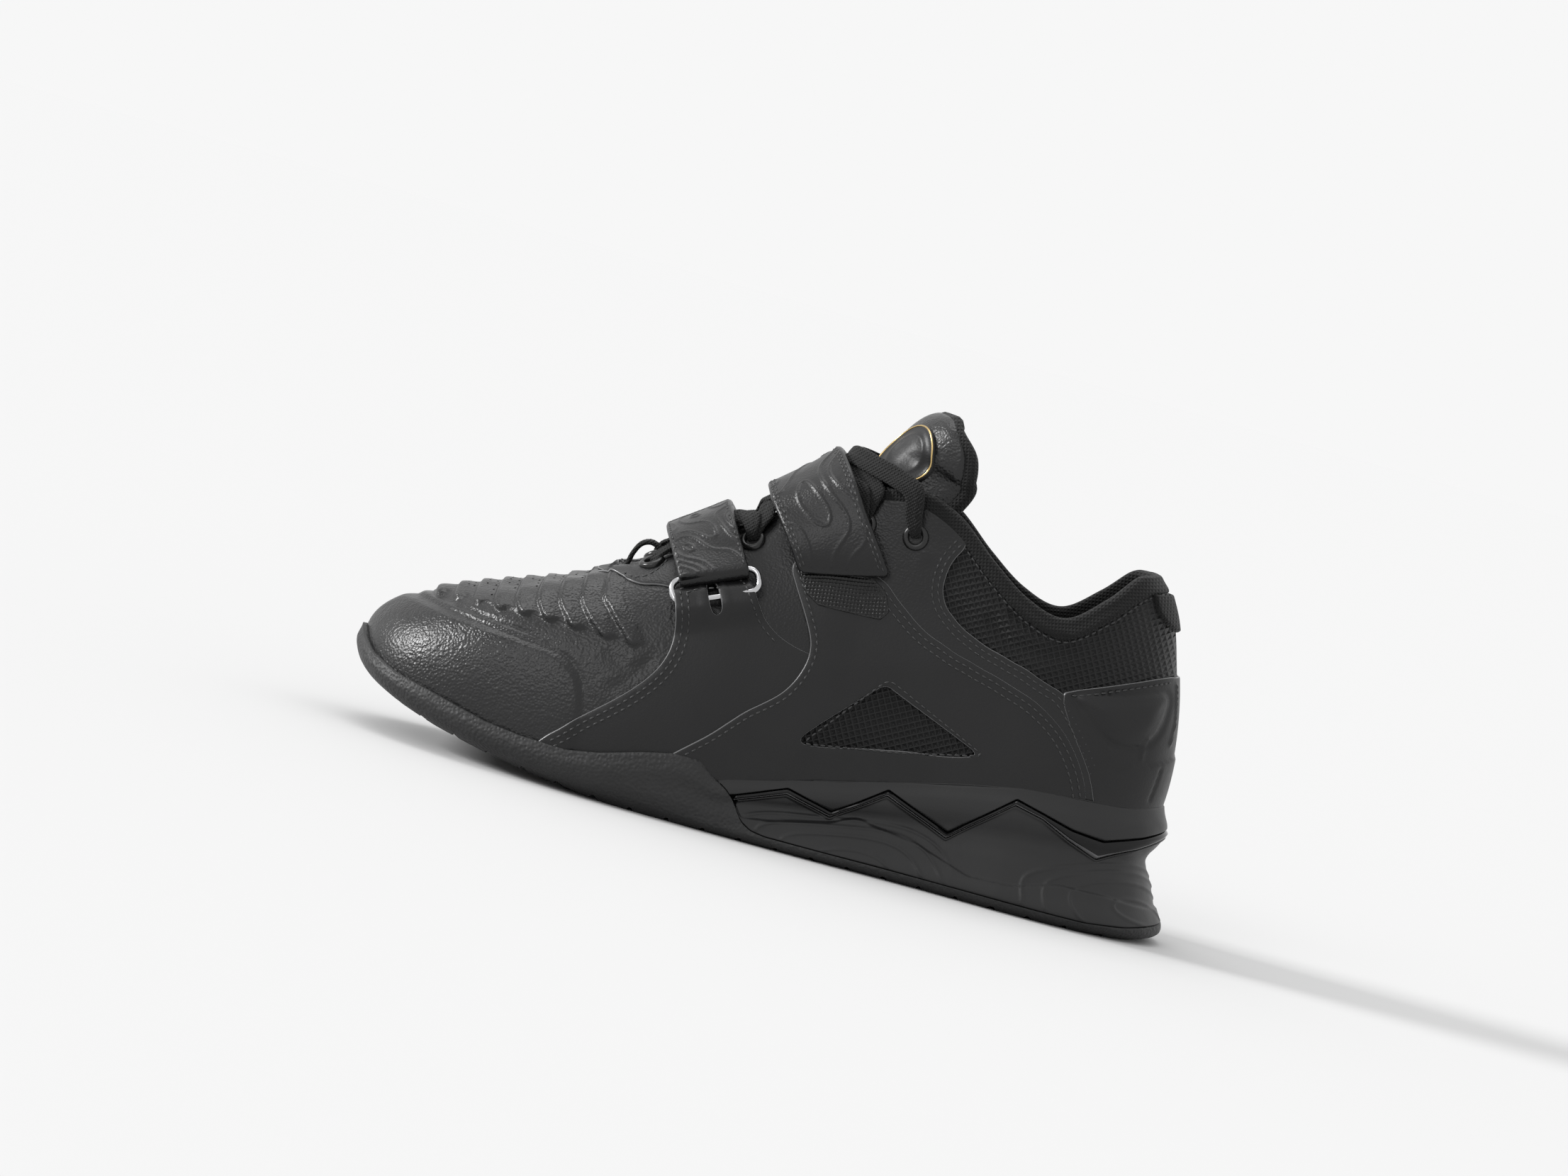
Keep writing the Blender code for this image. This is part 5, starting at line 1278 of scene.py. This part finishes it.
def build_ring(paint, bar, along, up, normal):
    """The round-cornered steel ring, from the bar in the strap down to the strap base."""
    drop = (BAR_HEIGHT - STRAP_SEAT - RING_WIRE) / RING_DEPTH
    away = unit(-up - normal * drop)
    middle = bar + away * (RING_DEPTH / 2 - RING_WIRE)
    reach = RING_LENGTH / 2 - RING_WIRE - RING_CORNER
    half = RING_DEPTH / 2 - RING_WIRE - RING_CORNER
    path = []
    for k, (east, north) in enumerate(((1, 1), (-1, 1), (-1, -1), (1, -1))):
        for angle in np.radians(90 * k + np.linspace(0, 90, 10)):
            path.append(middle + along * (east * reach + RING_CORNER * math.cos(angle))
                        + away * (north * half + RING_CORNER * math.sin(angle)))
    path = resample(np.array(path), 0.0006)
    ring = tube("steel_ring", path, RING_WIRE, paint["steel"], 16, closed=True)
    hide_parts("strap_ring")


# Free end of the tongue: tip and wing along and up, half width, as shares
TONGUE_END = ((0.527, 1.095, 0.616, 1.010, 0.36), (0.540, 1.140, 0.617, 1.070, 0.38),
              (0.555, 1.190, 0.614, 1.135, 0.37), (0.570, 1.224, 0.608, 1.187, 0.32),
              (0.586, 1.243, 0.601, 1.223, 0.22))
TONGUE_TWIST = 11.0
TONGUE_MIDDLE = UPPER_WALL + 2 * GAP + 0.0021
TONGUE_THICKNESS = 0.0046
TONGUE_EDGE = 0.0030
TONGUE_CORNER = 11.0


def tongue_grid():
    """The middle surface of the tongue, a row for each rib and then its free end."""
    ways = np.array((0.70, 0.80, 0.90, 1.0, 1.36, 1.70))
    rows = []
    for row in range(4, 13):
        outer = arch(float(row), -1, ways)
        inner = arch(float(row), 1, ways)
        rows.append(np.concatenate([outer, arch(float(row), 1, 2.0)[None], inner[::-1]]))
    a = np.linspace(-1, 1, 13)
    for along, up, wing_along, wing_up, half in TONGUE_END:
        top = np.array((TOE_TIP + along * LENGTH, 0.0, up * INSTEP_HEIGHT))
        wing = np.array((TOE_TIP + wing_along * LENGTH, 0.0, wing_up * INSTEP_HEIGHT))
        row = top + (wing - top) * (a * a)[:, None]
        row[:, 1] = half * ANKLE_WIDTH * np.sin(a * math.pi / 2)
        row[:, 0] -= row[:, 1] * math.sin(math.radians(TONGUE_TWIST))
        row[:, 0] += 0.0015
        rows.append(row)
    grid = np.array(rows)
    a_at, b_at = np.meshgrid(np.arange(len(rows)), np.arange(13), indexing="ij")
    normals = sample_normal(grid, a_at, b_at)
    normals[normals[:, 6, 2] < 0] *= -1
    return grid - normals * TONGUE_MIDDLE


def build_tongue(paint):
    """The padded tongue with a knit binding round its free end."""
    grid = tongue_grid()
    if sample_normal(grid, 9.0, 6.0)[0] > 0:
        grid = grid[:, ::-1]

    def puff(s, w):
        late = ease(92.0, 112.0, s)
        return late * (0.5 * (1 - (w / 30.0) ** 2)
                       + 0.9 * np.exp(-((np.abs(w) - 20.5) / 1.3) ** 2)
                       - 0.7 * np.exp(-((np.abs(w) - 23.0) / 0.9) ** 2))

    obj, made = band("tongue_pad", grid, TONGUE_THICKNESS, paint["leather"], relief=puff,
                     pitch=0.8, columns=70, corners=(0.0, TONGUE_CORNER))
    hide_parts("tongue")
    s, a, half, wide = made
    total = s[-1]
    edge = []
    for side in (-1, 1):
        at = s[s > total - 58]
        near = np.clip(TONGUE_CORNER - (total - at), 0.0, TONGUE_CORNER)
        narrow = (half - TONGUE_CORNER + np.sqrt(TONGUE_CORNER ** 2 - near ** 2)) / half
        b = (1 + side * narrow) * wide / 2
        line = sample(grid, np.interp(at, s, a), b)
        edge.append(line if side < 0 else line[::-1])
    path = resample(np.concatenate(edge), 0.0009, False)
    tube("tongue_binding", path, TONGUE_EDGE, paint["knit"], 12)
    return grid


# Badge: shares along and up, side in metres, turn and tilt in degrees, radius in metres
BADGE_SEAT = 0.0012
BADGE = dict(along=0.556, up=1.100, side=-0.0135, turn=47.0, tilt=18.0, radius=0.0122)


def build_badge(paint, grid):
    """A plain round badge with a thin gold ring, laid on the tongue."""
    fine = sample(grid, np.linspace(8, len(grid) - 1, 90)[:, None], np.linspace(0, 12, 90)[None])
    turn, tilt = math.radians(BADGE["turn"]), math.radians(BADGE["tilt"])
    facing = np.array((-math.cos(turn) * math.cos(tilt), -math.sin(turn) * math.cos(tilt),
                       math.sin(tilt)))
    across = unit(np.cross(facing, (0.0, 0.0, 1.0)))
    up = np.cross(across, facing)
    tree = surface_tree(fine)
    middle = np.array((TOE_TIP + BADGE["along"] * LENGTH, BADGE["side"],
                       BADGE["up"] * INSTEP_HEIGHT))

    def on_tongue(radius, angle, lift):
        start = middle + (across * math.cos(angle) + up * math.sin(angle)) * radius + facing * 0.1
        hit = tree.ray_cast(Vector(start), Vector(-facing))[0]
        hit = np.array(hit) if hit else start - facing * 0.1
        return hit + facing * (TONGUE_THICKNESS / 2 + BADGE_SEAT + lift)

    turns = np.arange(72) * math.tau / 72
    radius = BADGE["radius"]
    rows = []
    for share, lift in ((1.0, -1.2), (1.0, 0.35), (0.985, 0.6), (0.93, 0.7), (0.88, 0.5),
                        (0.86, 0.35), (0.70, 0.40), (0.66, 0.62), (0.62, 0.66), (0.58, 0.62),
                        (0.54, 0.42), (0.30, 0.5), (0.04, 0.55)):
        rows.append([on_tongue(radius * share, t, lift * MM) for t in turns])
    rows.append([on_tongue(0.0, 0.0, 0.00055)] * 72)
    obj = grid_piece("badge_disc", np.array(rows), paint["moulded"], wrap=True, flip=True)
    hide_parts("tongue_badge")
    ring = np.array([on_tongue(radius * 0.955, t, 0.0007) for t in turns])
    tube("badge_ring", ring, 0.00035, paint["gold"], 8, closed=True)


EYELETS = ((6.3, 0.90), (7.7, 0.905), (9.1, 0.905), (10.4, 0.905), (11.7, 0.90), (13.0, 0.865))
LACE_WIDTH = 0.0075


EYELET_SEAT = 0.0009


def build_eyelets(paint):
    """Turned eyelets, six a side, each from a profile in millimetres."""
    profile = ((2.35, -0.8), (2.35, 0.4), (2.5, 0.85), (2.9, 1.15), (3.5, 1.2), (4.1, 1.0),
               (4.5, 0.55), (4.65, 0.0), (4.65, -0.5))
    turns = np.arange(40) * math.tau / 40
    for side, label in ((-1, "outer"), (1, "inner")):
        for k, (row, v) in enumerate(EYELETS):
            q = row if side < 0 else LOOP - row
            normal = last_normal(q, v)
            place = skin(q, v, EYELET_SEAT)
            across = unit(np.cross(normal, (0.3, 0.2, 0.9)))
            other = np.cross(normal, across)
            spokes = (np.cos(turns)[:, None] * across + np.sin(turns)[:, None] * other)
            rows = [place + spokes * r * MM + normal * up * MM for r, up in profile]
            obj = grid_piece("eyelet_ring_%s_%d" % (label, k + 1), np.array(rows),
                             paint["enamel"], wrap=True, flip=True)
            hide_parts("eyelet_%s_%d" % (label, k + 1))


def build_laces(paint):
    """Flat braided laces from eyelet to eyelet, crossing on the tongue."""
    def braid(s, w):
        way = np.abs(w) * 0.9 + s
        return 0.16 * np.sin(way * math.tau / 1.5) * (np.abs(w) > 0.25) + 0.05

    for k in range(5):
        for side, over in ((-1, 0.0), (1, 1.0)):
            lower, upper = EYELETS[k], EYELETS[k + 1]
            ways = ((side, lower[1], -1.2), (side, lower[1] + 0.02, 1.0),
                    (side, min(0.975, lower[1] + 0.06), 2.2), (side, 1.0, 2.2), (side, 1.14, 2.2),
                    (side, 1.36, 2.2), (side, 1.7, 2.2), (side, 2.0, 2.2), (-side, 1.7, 2.2),
                    (-side, 1.36, 2.2), (-side, 1.14, 2.2), (-side, 1.0, 2.2),
                    (-side, min(0.975, upper[1] + 0.06), 2.4), (-side, upper[1] + 0.02, 1.8),
                    (-side, upper[1], -1.2))
            share = np.linspace(0, 1, len(ways))
            centre, normals = [], []
            for t, (edge, way, lift) in zip(share, ways):
                row = lower[0] + (upper[0] - lower[0]) * ease(0.0, 1.0, t)
                height = (LACE_SEAT + LACE_THICKNESS / 2 + over * LACE_THICKNESS * 0.8
                          + (lift - 2.2) * MM)
                normal = arch_normal(row, edge, way)
                centre.append(arch(row, edge, way) + normal * height)
                normals.append(normal)
            centre, normals = np.array(centre), np.array(normals)
            run = np.gradient(centre, axis=0)
            across = unit(np.cross(normals, run))
            width = np.interp(share, (0, 0.08, 0.2, 0.8, 0.92, 1), (0.45, 0.6, 1, 1, 0.6, 0.45))
            shares = np.linspace(-1, 1, 5)[None, :, None]
            grid = (centre[:, None] + across[:, None] * shares * (width[:, None, None]
                    * LACE_WIDTH / 2))
            if sample_normal(grid, 7.0, 2.0)[2] < 0:
                grid = grid[:, ::-1]
            obj, _ = band("lace_%d_%s" % (k + 1, "under" if over == 0 else "over"), grid,
                          LACE_THICKNESS, paint["lace"], relief=braid, pitch=0.38, columns=14)
            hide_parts("lace_cross_%d" % (k + 1))


LOOP_WIDTH = 0.008
LOOP_THICKNESS = 0.0017
LOOP_PATH = ((-178.2, 74.9), (-176.0, 76.2), (-174.2, 79.0), (-173.2, 83.0), (-171.3, 86.8),
             (-168.4, 88.4), (-165.6, 87.8), (-163.6, 85.6), (-164.6, 82.6))


def build_lace_loop(paint):
    """The woven loop that holds the laces at the foot of the throat."""
    centre = np.array([(x * MM, 0.0, z * MM) for x, z in LOOP_PATH])
    offset_y = np.linspace(-1, 1, 5) * LOOP_WIDTH / 2
    grid = centre[:, None] + np.stack([0 * offset_y, offset_y, 0 * offset_y], -1)[None]
    if sample_normal(grid, 3.0, 2.0)[0] > 0:
        grid = grid[:, ::-1]

    def weave(s, w):
        return 0.12 * np.sin(s * math.tau / 1.2) * np.sin(w * math.tau / 1.6)

    obj, _ = band("throat_loop", grid, LOOP_THICKNESS, paint["lace"], relief=weave, pitch=0.3,
                  columns=20)
    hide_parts("lace_loop")


# Sole


def line(*pairs):
    return np.array(pairs, float)


# Lines round the sole: share of the length, share of the heel cup's height
GROUND_LINE = line((0.0, 0.50), (0.017, 0.36), (0.033, 0.312), (0.066, 0.246), (0.116, 0.175),
                   (0.182, 0.104), (0.248, 0.054), (0.315, 0.017), (0.365, 0.0), (1.0, 0.0))
RAND_LINE = line((0.0, 0.71), (0.012, 0.69), (0.020, 0.61), (0.033, 0.545), (0.066, 0.470),
                 (0.116, 0.417), (0.182, 0.335), (0.225, 0.313), (0.281, 0.313), (0.315, 0.354),
                 (0.364, 0.448), (0.397, 0.496), (0.427, 0.500), (0.447, 0.406), (0.464, 0.344),
                 (0.477, 0.270), (0.490, 0.146), (0.503, 0.098), (0.520, 0.082), (0.893, 0.082),
                 (0.925, 0.105), (0.957, 0.160))
WEDGE_STEP = line((0.465, 0.15), (0.530, 0.21), (0.590, 0.30), (0.620, 0.378), (0.645, 0.350),
                  (0.695, 0.312), (0.760, 0.190), (0.810, 0.205), (0.860, 0.300), (0.910, 0.300),
                  (0.957, 0.255))
INSERT_LOW = line((0.465, 0.255), (0.477, 0.281), (0.533, 0.420), (0.589, 0.333), (0.646, 0.594),
                  (0.725, 0.406), (0.791, 0.775), (0.825, 0.729), (0.860, 0.625), (0.897, 0.535),
                  (0.932, 0.660), (0.957, 0.790))
INSERT_HIGH = line((0.465, 0.300), (0.477, 0.323), (0.533, 0.462), (0.589, 0.375), (0.646, 0.635),
                   (0.725, 0.448), (0.791, 0.817), (0.825, 0.765), (0.860, 0.706), (0.897, 0.680),
                   (0.932, 0.760), (0.957, 0.835))
CUP_LINE = line((0.450, 0.385), (0.464, 0.417), (0.497, 0.469), (0.530, 0.521), (0.596, 0.615),
                (0.662, 0.719), (0.728, 0.823), (0.795, 0.906), (0.861, 0.940), (0.920, 0.960),
                (0.957, 1.0))
# Bulge of the side: share of its height, share of the rand's bulge or the heel's flare
TOE_PROFILE = line((0.0, -1.70), (0.13, -0.35), (0.33, 0.55), (0.55, 0.90), (0.72, 1.0),
                   (1.0, 0.75))
HEEL_PROFILE = line((0.0, 0.30), (0.03, 0.72), (0.07, 0.95), (0.11, 1.0), (0.16, 0.95),
                    (0.25, 0.74), (0.34, 0.59), (0.42, 0.47), (0.50, 0.29), (0.575, 0.17),
                    (0.63, 0.22), (0.69, 0.36), (0.75, 0.46), (0.80, 0.47), (0.87, 0.42),
                    (0.94, 0.28), (1.0, 0.20))
SEAM = 0.00018
SIDE_FLARE = 0.5
GROOVE_PITCH = 13.0
GROOVE_DEPTH = 1.2
CUP_NOSE = 0.4535
SEAM_SHADE_NOSE = 0.456
INSERT_NOSE = 0.4770
INSERT_ROWS = 11
WEDGE_NOSE = 0.4815
RIM_START = 0.427


def read(table, at, soft=0.0):
    """A table read by its first column, with its corners eased over a reach."""
    if not soft:
        return np.interp(at, table[:, 0], table[:, 1])
    return sum(np.interp(at + k * soft, table[:, 0], table[:, 1]) * w
               for k, w in ((-1.0, 0.2), (-0.5, 0.2), (0.0, 0.2), (0.5, 0.2), (1.0, 0.2)))


def height(table, share, soft=0.004):
    """Height in metres of a line round the sole."""
    return read(table, share, soft) * HEEL_CUP


def foot_share(q):
    """Share of the length where a row of the last stands."""
    return (smooth(FEET, q)[..., 0] - TOE_TIP) / LENGTH


def row_at(share):
    """Row of the last at a share of the length."""
    q = np.linspace(0, HEEL_ROW, 2001)
    return float(np.interp(share, foot_share(q), q))


def side_point(q, z, out=0.0):
    """A point on the sole's side at a height, moved out by metres."""
    q, z, out = np.broadcast_arrays(np.asarray(q, float), z, out)
    share = foot_share(q)
    n = plan_normal(q)
    ground = height(GROUND_LINE, share)
    rim = height(np.concatenate([RAND_LINE[:13], CUP_LINE]), share, 0.012)
    up = (z - ground) / np.maximum(rim - ground, 1e-4)
    toe = RAND_BULGE * read(TOE_PROFILE, up, 0.05)
    rear = np.maximum(n[..., 0], 0.0)
    heel = HEEL_FLARE * (SIDE_FLARE + (1 - SIDE_FLARE) * rear) * read(HEEL_PROFILE, up, 0.02)
    blend = ease(0.32, 0.62, share)
    point = smooth(FEET, q) + n * (toe + (heel - toe) * blend + out)[..., None]
    point[..., 2] = z
    return point


def heel_arc(q):
    """Distance from the back of the heel round the sole, in millimetres."""
    return np.abs(np.interp(q, _q, FOOT_ARC) - np.interp(HEEL_ROW, _q, FOOT_ARC))


FOOT_ARC = run_along(smooth(FEET, _q)) / MM


def wall(name, material, q, base, top, count, relief=None, soft=0.5):
    """A layer of the sole's side with eased edges, turned in at its top, foot and ends."""
    shares = np.linspace(0, 1, count)
    z = base[:, None] + (top - base)[:, None] * shares
    edge = np.minimum(shares[None] * (top - base)[:, None], (1 - shares[None])
                      * (top - base)[:, None]) / MM
    pull = -soft * MM * (1 - np.sqrt(np.clip(1 - (1 - np.clip(edge / soft, 0, 1)) ** 2, 0, 1)))
    if relief is not None:
        pull = pull + relief(q[:, None] + 0 * z, z / MM) * MM * ease(0.3, 1.2, edge)
    grid = side_point(q[:, None] + 0 * z, z, pull)
    lower = side_point(q, base, -0.004)
    upper = side_point(q, top, -0.004)
    grid = np.concatenate([lower[:, None], grid, upper[:, None]], 1)
    inward = [grid[k] - plan_normal(q[k]) * 0.004 for k in (0, -1)]
    grid = np.concatenate([inward[0][None], grid, inward[1][None]])
    return grid_piece(name, grid, material, flip=True)


def lip(name, material, q, top):
    """The rim of the rand or the cup: its outer edge, its top and its inner side."""
    v = np.full(len(q), 0.1)
    for _ in range(30):
        v = np.clip(v - (last(q, v)[:, 2] - top) / 0.08, 0.0, 0.5)
    inside_edge = last(q, v)
    inside_edge[:, 2] = top
    n = plan_normal(q)
    side = side_point(q, top)
    rows = [side_point(q, top - 0.0012), side_point(q, top - 0.0004, -0.00015)]
    gap = np.maximum(((side - inside_edge) * n).sum(1), 0.0004)[:, None]
    for share, drop in ((1.0, -0.0005), (0.85, 0.0), (0.5, 0.0001), (0.25, 0.0), (0.1, -0.0003),
                        (-0.3, -0.0040)):
        row = inside_edge + n * gap * share
        row[:, 2] = top + drop
        rows.append(row)
    return grid_piece(name, np.stack(rows, 1), material, flip=True)


def groove(x):
    """Depth of the straight tread grooves at X, in millimetres."""
    near = np.abs((x / MM / GROOVE_PITCH) % 1.0 - 0.5) * GROOVE_PITCH
    return GROOVE_DEPTH * (1 - ease(0.7, 1.3, near))


def wedge_relief(q, z):
    """Raised contour lines and the step that runs through them."""
    share = foot_share(q)
    x = (TOE_TIP + share * LENGTH) / MM
    arc = heel_arc(q)
    side = 3.4 * (1 - ((x + 68 + 5 * np.sin(z / 5.0)) / 41.0) ** 2
                  - ((z - 2.5 - 1.5 * np.sin(x / 11.0)) / 15.5) ** 2)
    back = 3.2 * (1 - ((arc - 18 + 4 * np.sin(z / 4.0)) / 44.0) ** 2
                  - ((z - 9 - 2 * np.sin(arc / 13.0)) / 15.0) ** 2)
    out = np.zeros(z.shape)
    for field, reach in ((side, ease(-34.0, -44.0, x)), (back, ease(-26.0, -16.0, x))):
        gx = np.gradient(field, axis=0) / np.maximum(np.abs(np.gradient(arc, axis=0)), 1e-3)
        gz = np.gradient(field, axis=1) / np.gradient(z, axis=1)
        gap = np.abs((field + 0.5) % 1.0 - 0.5) / np.maximum(np.hypot(gx, gz), 0.02)
        keep = (field > -0.6) * reach
        out = out + 0.42 * np.exp(-(gap / 0.55) ** 2) * keep
    step = height(WEDGE_STEP, share) / MM
    return out - 0.9 * ease(-0.5, 0.5, z - step)


def build_outsole(paint):
    """The outsole's side, its grooved tread and the lip of the toe rand."""
    q = np.linspace(0, LOOP, 901)
    share = foot_share(q)
    ground = height(GROUND_LINE, share)
    rand = height(RAND_LINE, share, 0.003)
    shares = np.concatenate([[0.0, 0.012, 0.03, 0.06], np.linspace(0.1, 1.0, 18)])
    z = ground[:, None] + (rand - ground)[:, None] * shares
    point = side_point(q[:, None] + 0 * z, z)
    notch = groove(point[..., 0]) * MM
    rise = np.maximum(notch - (z - ground[:, None]), 0.0) * (shares < 0.5)
    grid = side_point(q[:, None] + 0 * z, z + rise)
    upper = side_point(q, rand, -0.003)
    side = np.concatenate([grid, upper[:, None]], 1)
    wall_piece = grid_piece("outsole_wall", side, paint["rubber"], flip=True)

    half = np.linspace(0.0, HEEL_ROW, 620)
    across = np.linspace(0.0, 1.0, 41)
    outer = side_point(half, height(GROUND_LINE, foot_share(half)))
    inner = side_point(LOOP - half, height(GROUND_LINE, foot_share(half)))
    tread = outer[:, None] + (inner - outer)[:, None] * across[None, :, None]
    edge = np.minimum(across, 1 - across)[None] * np.linalg.norm(inner - outer, axis=1)[:, None]
    x, y = tread[..., 0] / MM, tread[..., 1] / MM
    wave = (x + 3.0 * np.sin(y / 6.0)) / GROOVE_PITCH + 0.5
    near = np.abs(wave % 1.0 - 0.5) * GROOVE_PITCH
    sipe = 0.7 * (1 - ease(0.35, 0.75, near)) * ease(5.0, 8.0, edge / MM)
    tread[..., 2] += np.maximum(groove(tread[..., 0]), sipe * (np.abs(x) > 9)) * MM
    bottom = grid_piece("outsole_tread", tread, paint["rubber"])
    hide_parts("outsole")
    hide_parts("outsole")

    front = row_at(RIM_START + 0.002)
    q = np.concatenate([np.linspace(LOOP - front, LOOP, 260)[:-1] - LOOP,
                        np.linspace(0, front, 260)])
    lip("rand_lip", paint["rubber"], q, height(RAND_LINE, foot_share(q), 0.003))


def rear_rows(nose, count):
    """Rows round the heel, from a share of the length back to it."""
    q = np.linspace(row_at(nose), LOOP - row_at(nose), count)
    return q, foot_share(q)


def build_heel(paint):
    """Heel cup, wedge and glossy insert, with a near-black wall behind their seams as painted
    shade; the insert's lower bevel takes a painted highlight.
    """
    q, share = rear_rows(CUP_NOSE, 640)
    rand = height(RAND_LINE, share, 0.003)
    high = height(INSERT_HIGH, share, 0.0015)
    top = height(CUP_LINE, share)
    base = np.maximum(high * (share > 0.4645), rand) + SEAM
    cup = wall("cup_wall", paint["wedge"], q, base, np.maximum(top, base + 0.0002), 22)
    rim = lip("cup_rim", paint["wedge"], q, top)
    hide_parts("heel_cup")
    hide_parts("heel_cup")

    q, share = rear_rows(WEDGE_NOSE, 780)
    base = height(RAND_LINE, share, 0.003) + SEAM
    low = height(INSERT_LOW, share, 0.0015) - SEAM / 2
    wedge = wall("wedge_wall", paint["wedge"], q, base, np.maximum(low, base + 0.0003), 66,
                 relief=wedge_relief)
    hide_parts("heel_wedge")

    q, share = rear_rows(INSERT_NOSE, 900)
    base = np.maximum(height(INSERT_LOW, share, 0.0015) + SEAM / 2,
                      height(RAND_LINE, share, 0.003) + SEAM)
    high = np.maximum(height(INSERT_HIGH, share, 0.0015) - SEAM / 2, base + 0.0003)
    insert = wall("gloss_insert", paint["gloss"], q, base, high, INSERT_ROWS,
                  relief=lambda a, z: np.full(z.shape, 0.45), soft=0.7)
    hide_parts("heel_insert")
    # The insert's lowest bevel rows take the lighter edge finish: a painted highlight that stands
    # in for glints along its lower edge.
    insert.data.materials.append(paint["edge"])
    for face in insert.data.polygons:
        face.material_index = int(face.index % (INSERT_ROWS + 1) in (1, 2))

    # A near-black wall just inside the sole's layers: painted shade that shows through the seams
    # between them.
    q, share = rear_rows(SEAM_SHADE_NOSE, 420)
    base = height(RAND_LINE, share, 0.003) - 0.0006
    top = np.maximum(height(CUP_LINE, share) - 0.0006, base)
    rows = base[:, None] + (top - base)[:, None] * np.linspace(0, 1, 12)
    shade_wall = side_point(q[:, None] + 0 * rows, rows, -0.0014)
    grid_piece("seam_shade_wall", shade_wall, paint["hollow"], flip=True)


def build_footbed(paint):
    """The insole's top inside the upper, with a soft edge."""
    half = np.linspace(0.0, HEEL_ROW, 161)
    across = np.linspace(0.0, 1.0, 41)
    inset = UPPER_WALL + 4 * GAP
    outer = smooth(FEET, half) - plan_normal(half) * inset
    inner = smooth(FEET, LOOP - half) - plan_normal(LOOP - half) * inset
    bed = outer[:, None] + (inner - outer)[:, None] * across[None, :, None]
    edge = np.minimum(across, 1 - across)[None] * np.linalg.norm(inner - outer, axis=1)[:, None]
    bed[..., 2] += GAP + 0.0032 + 0.0010 * (1 - ease(0.0, 0.009, edge))
    obj = grid_piece("footbed", bed, paint["footbed"], flip=True)
    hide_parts("insole")


PIECES = []
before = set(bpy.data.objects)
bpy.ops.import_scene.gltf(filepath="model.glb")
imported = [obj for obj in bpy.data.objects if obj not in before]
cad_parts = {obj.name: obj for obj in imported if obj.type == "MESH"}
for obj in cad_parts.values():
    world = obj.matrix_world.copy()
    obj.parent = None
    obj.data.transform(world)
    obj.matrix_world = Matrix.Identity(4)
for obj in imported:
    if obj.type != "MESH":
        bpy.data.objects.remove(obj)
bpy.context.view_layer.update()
paint = build_finishes()
build_stage()
thread = Stitches()
build_shell(paint)
build_panels(paint, thread)
build_binding(paint, thread)
tree = instep_tree()
build_lower_strap(paint, thread, tree)
build_upper_strap(paint, thread, tree)
tongue = build_tongue(paint)
build_badge(paint, tongue)
build_eyelets(paint)
build_laces(paint)
build_lace_loop(paint)
build_outsole(paint)
build_heel(paint)
build_footbed(paint)
thread.piece("stitches", paint["thread"])
for piece in PIECES:
    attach(piece, "root")
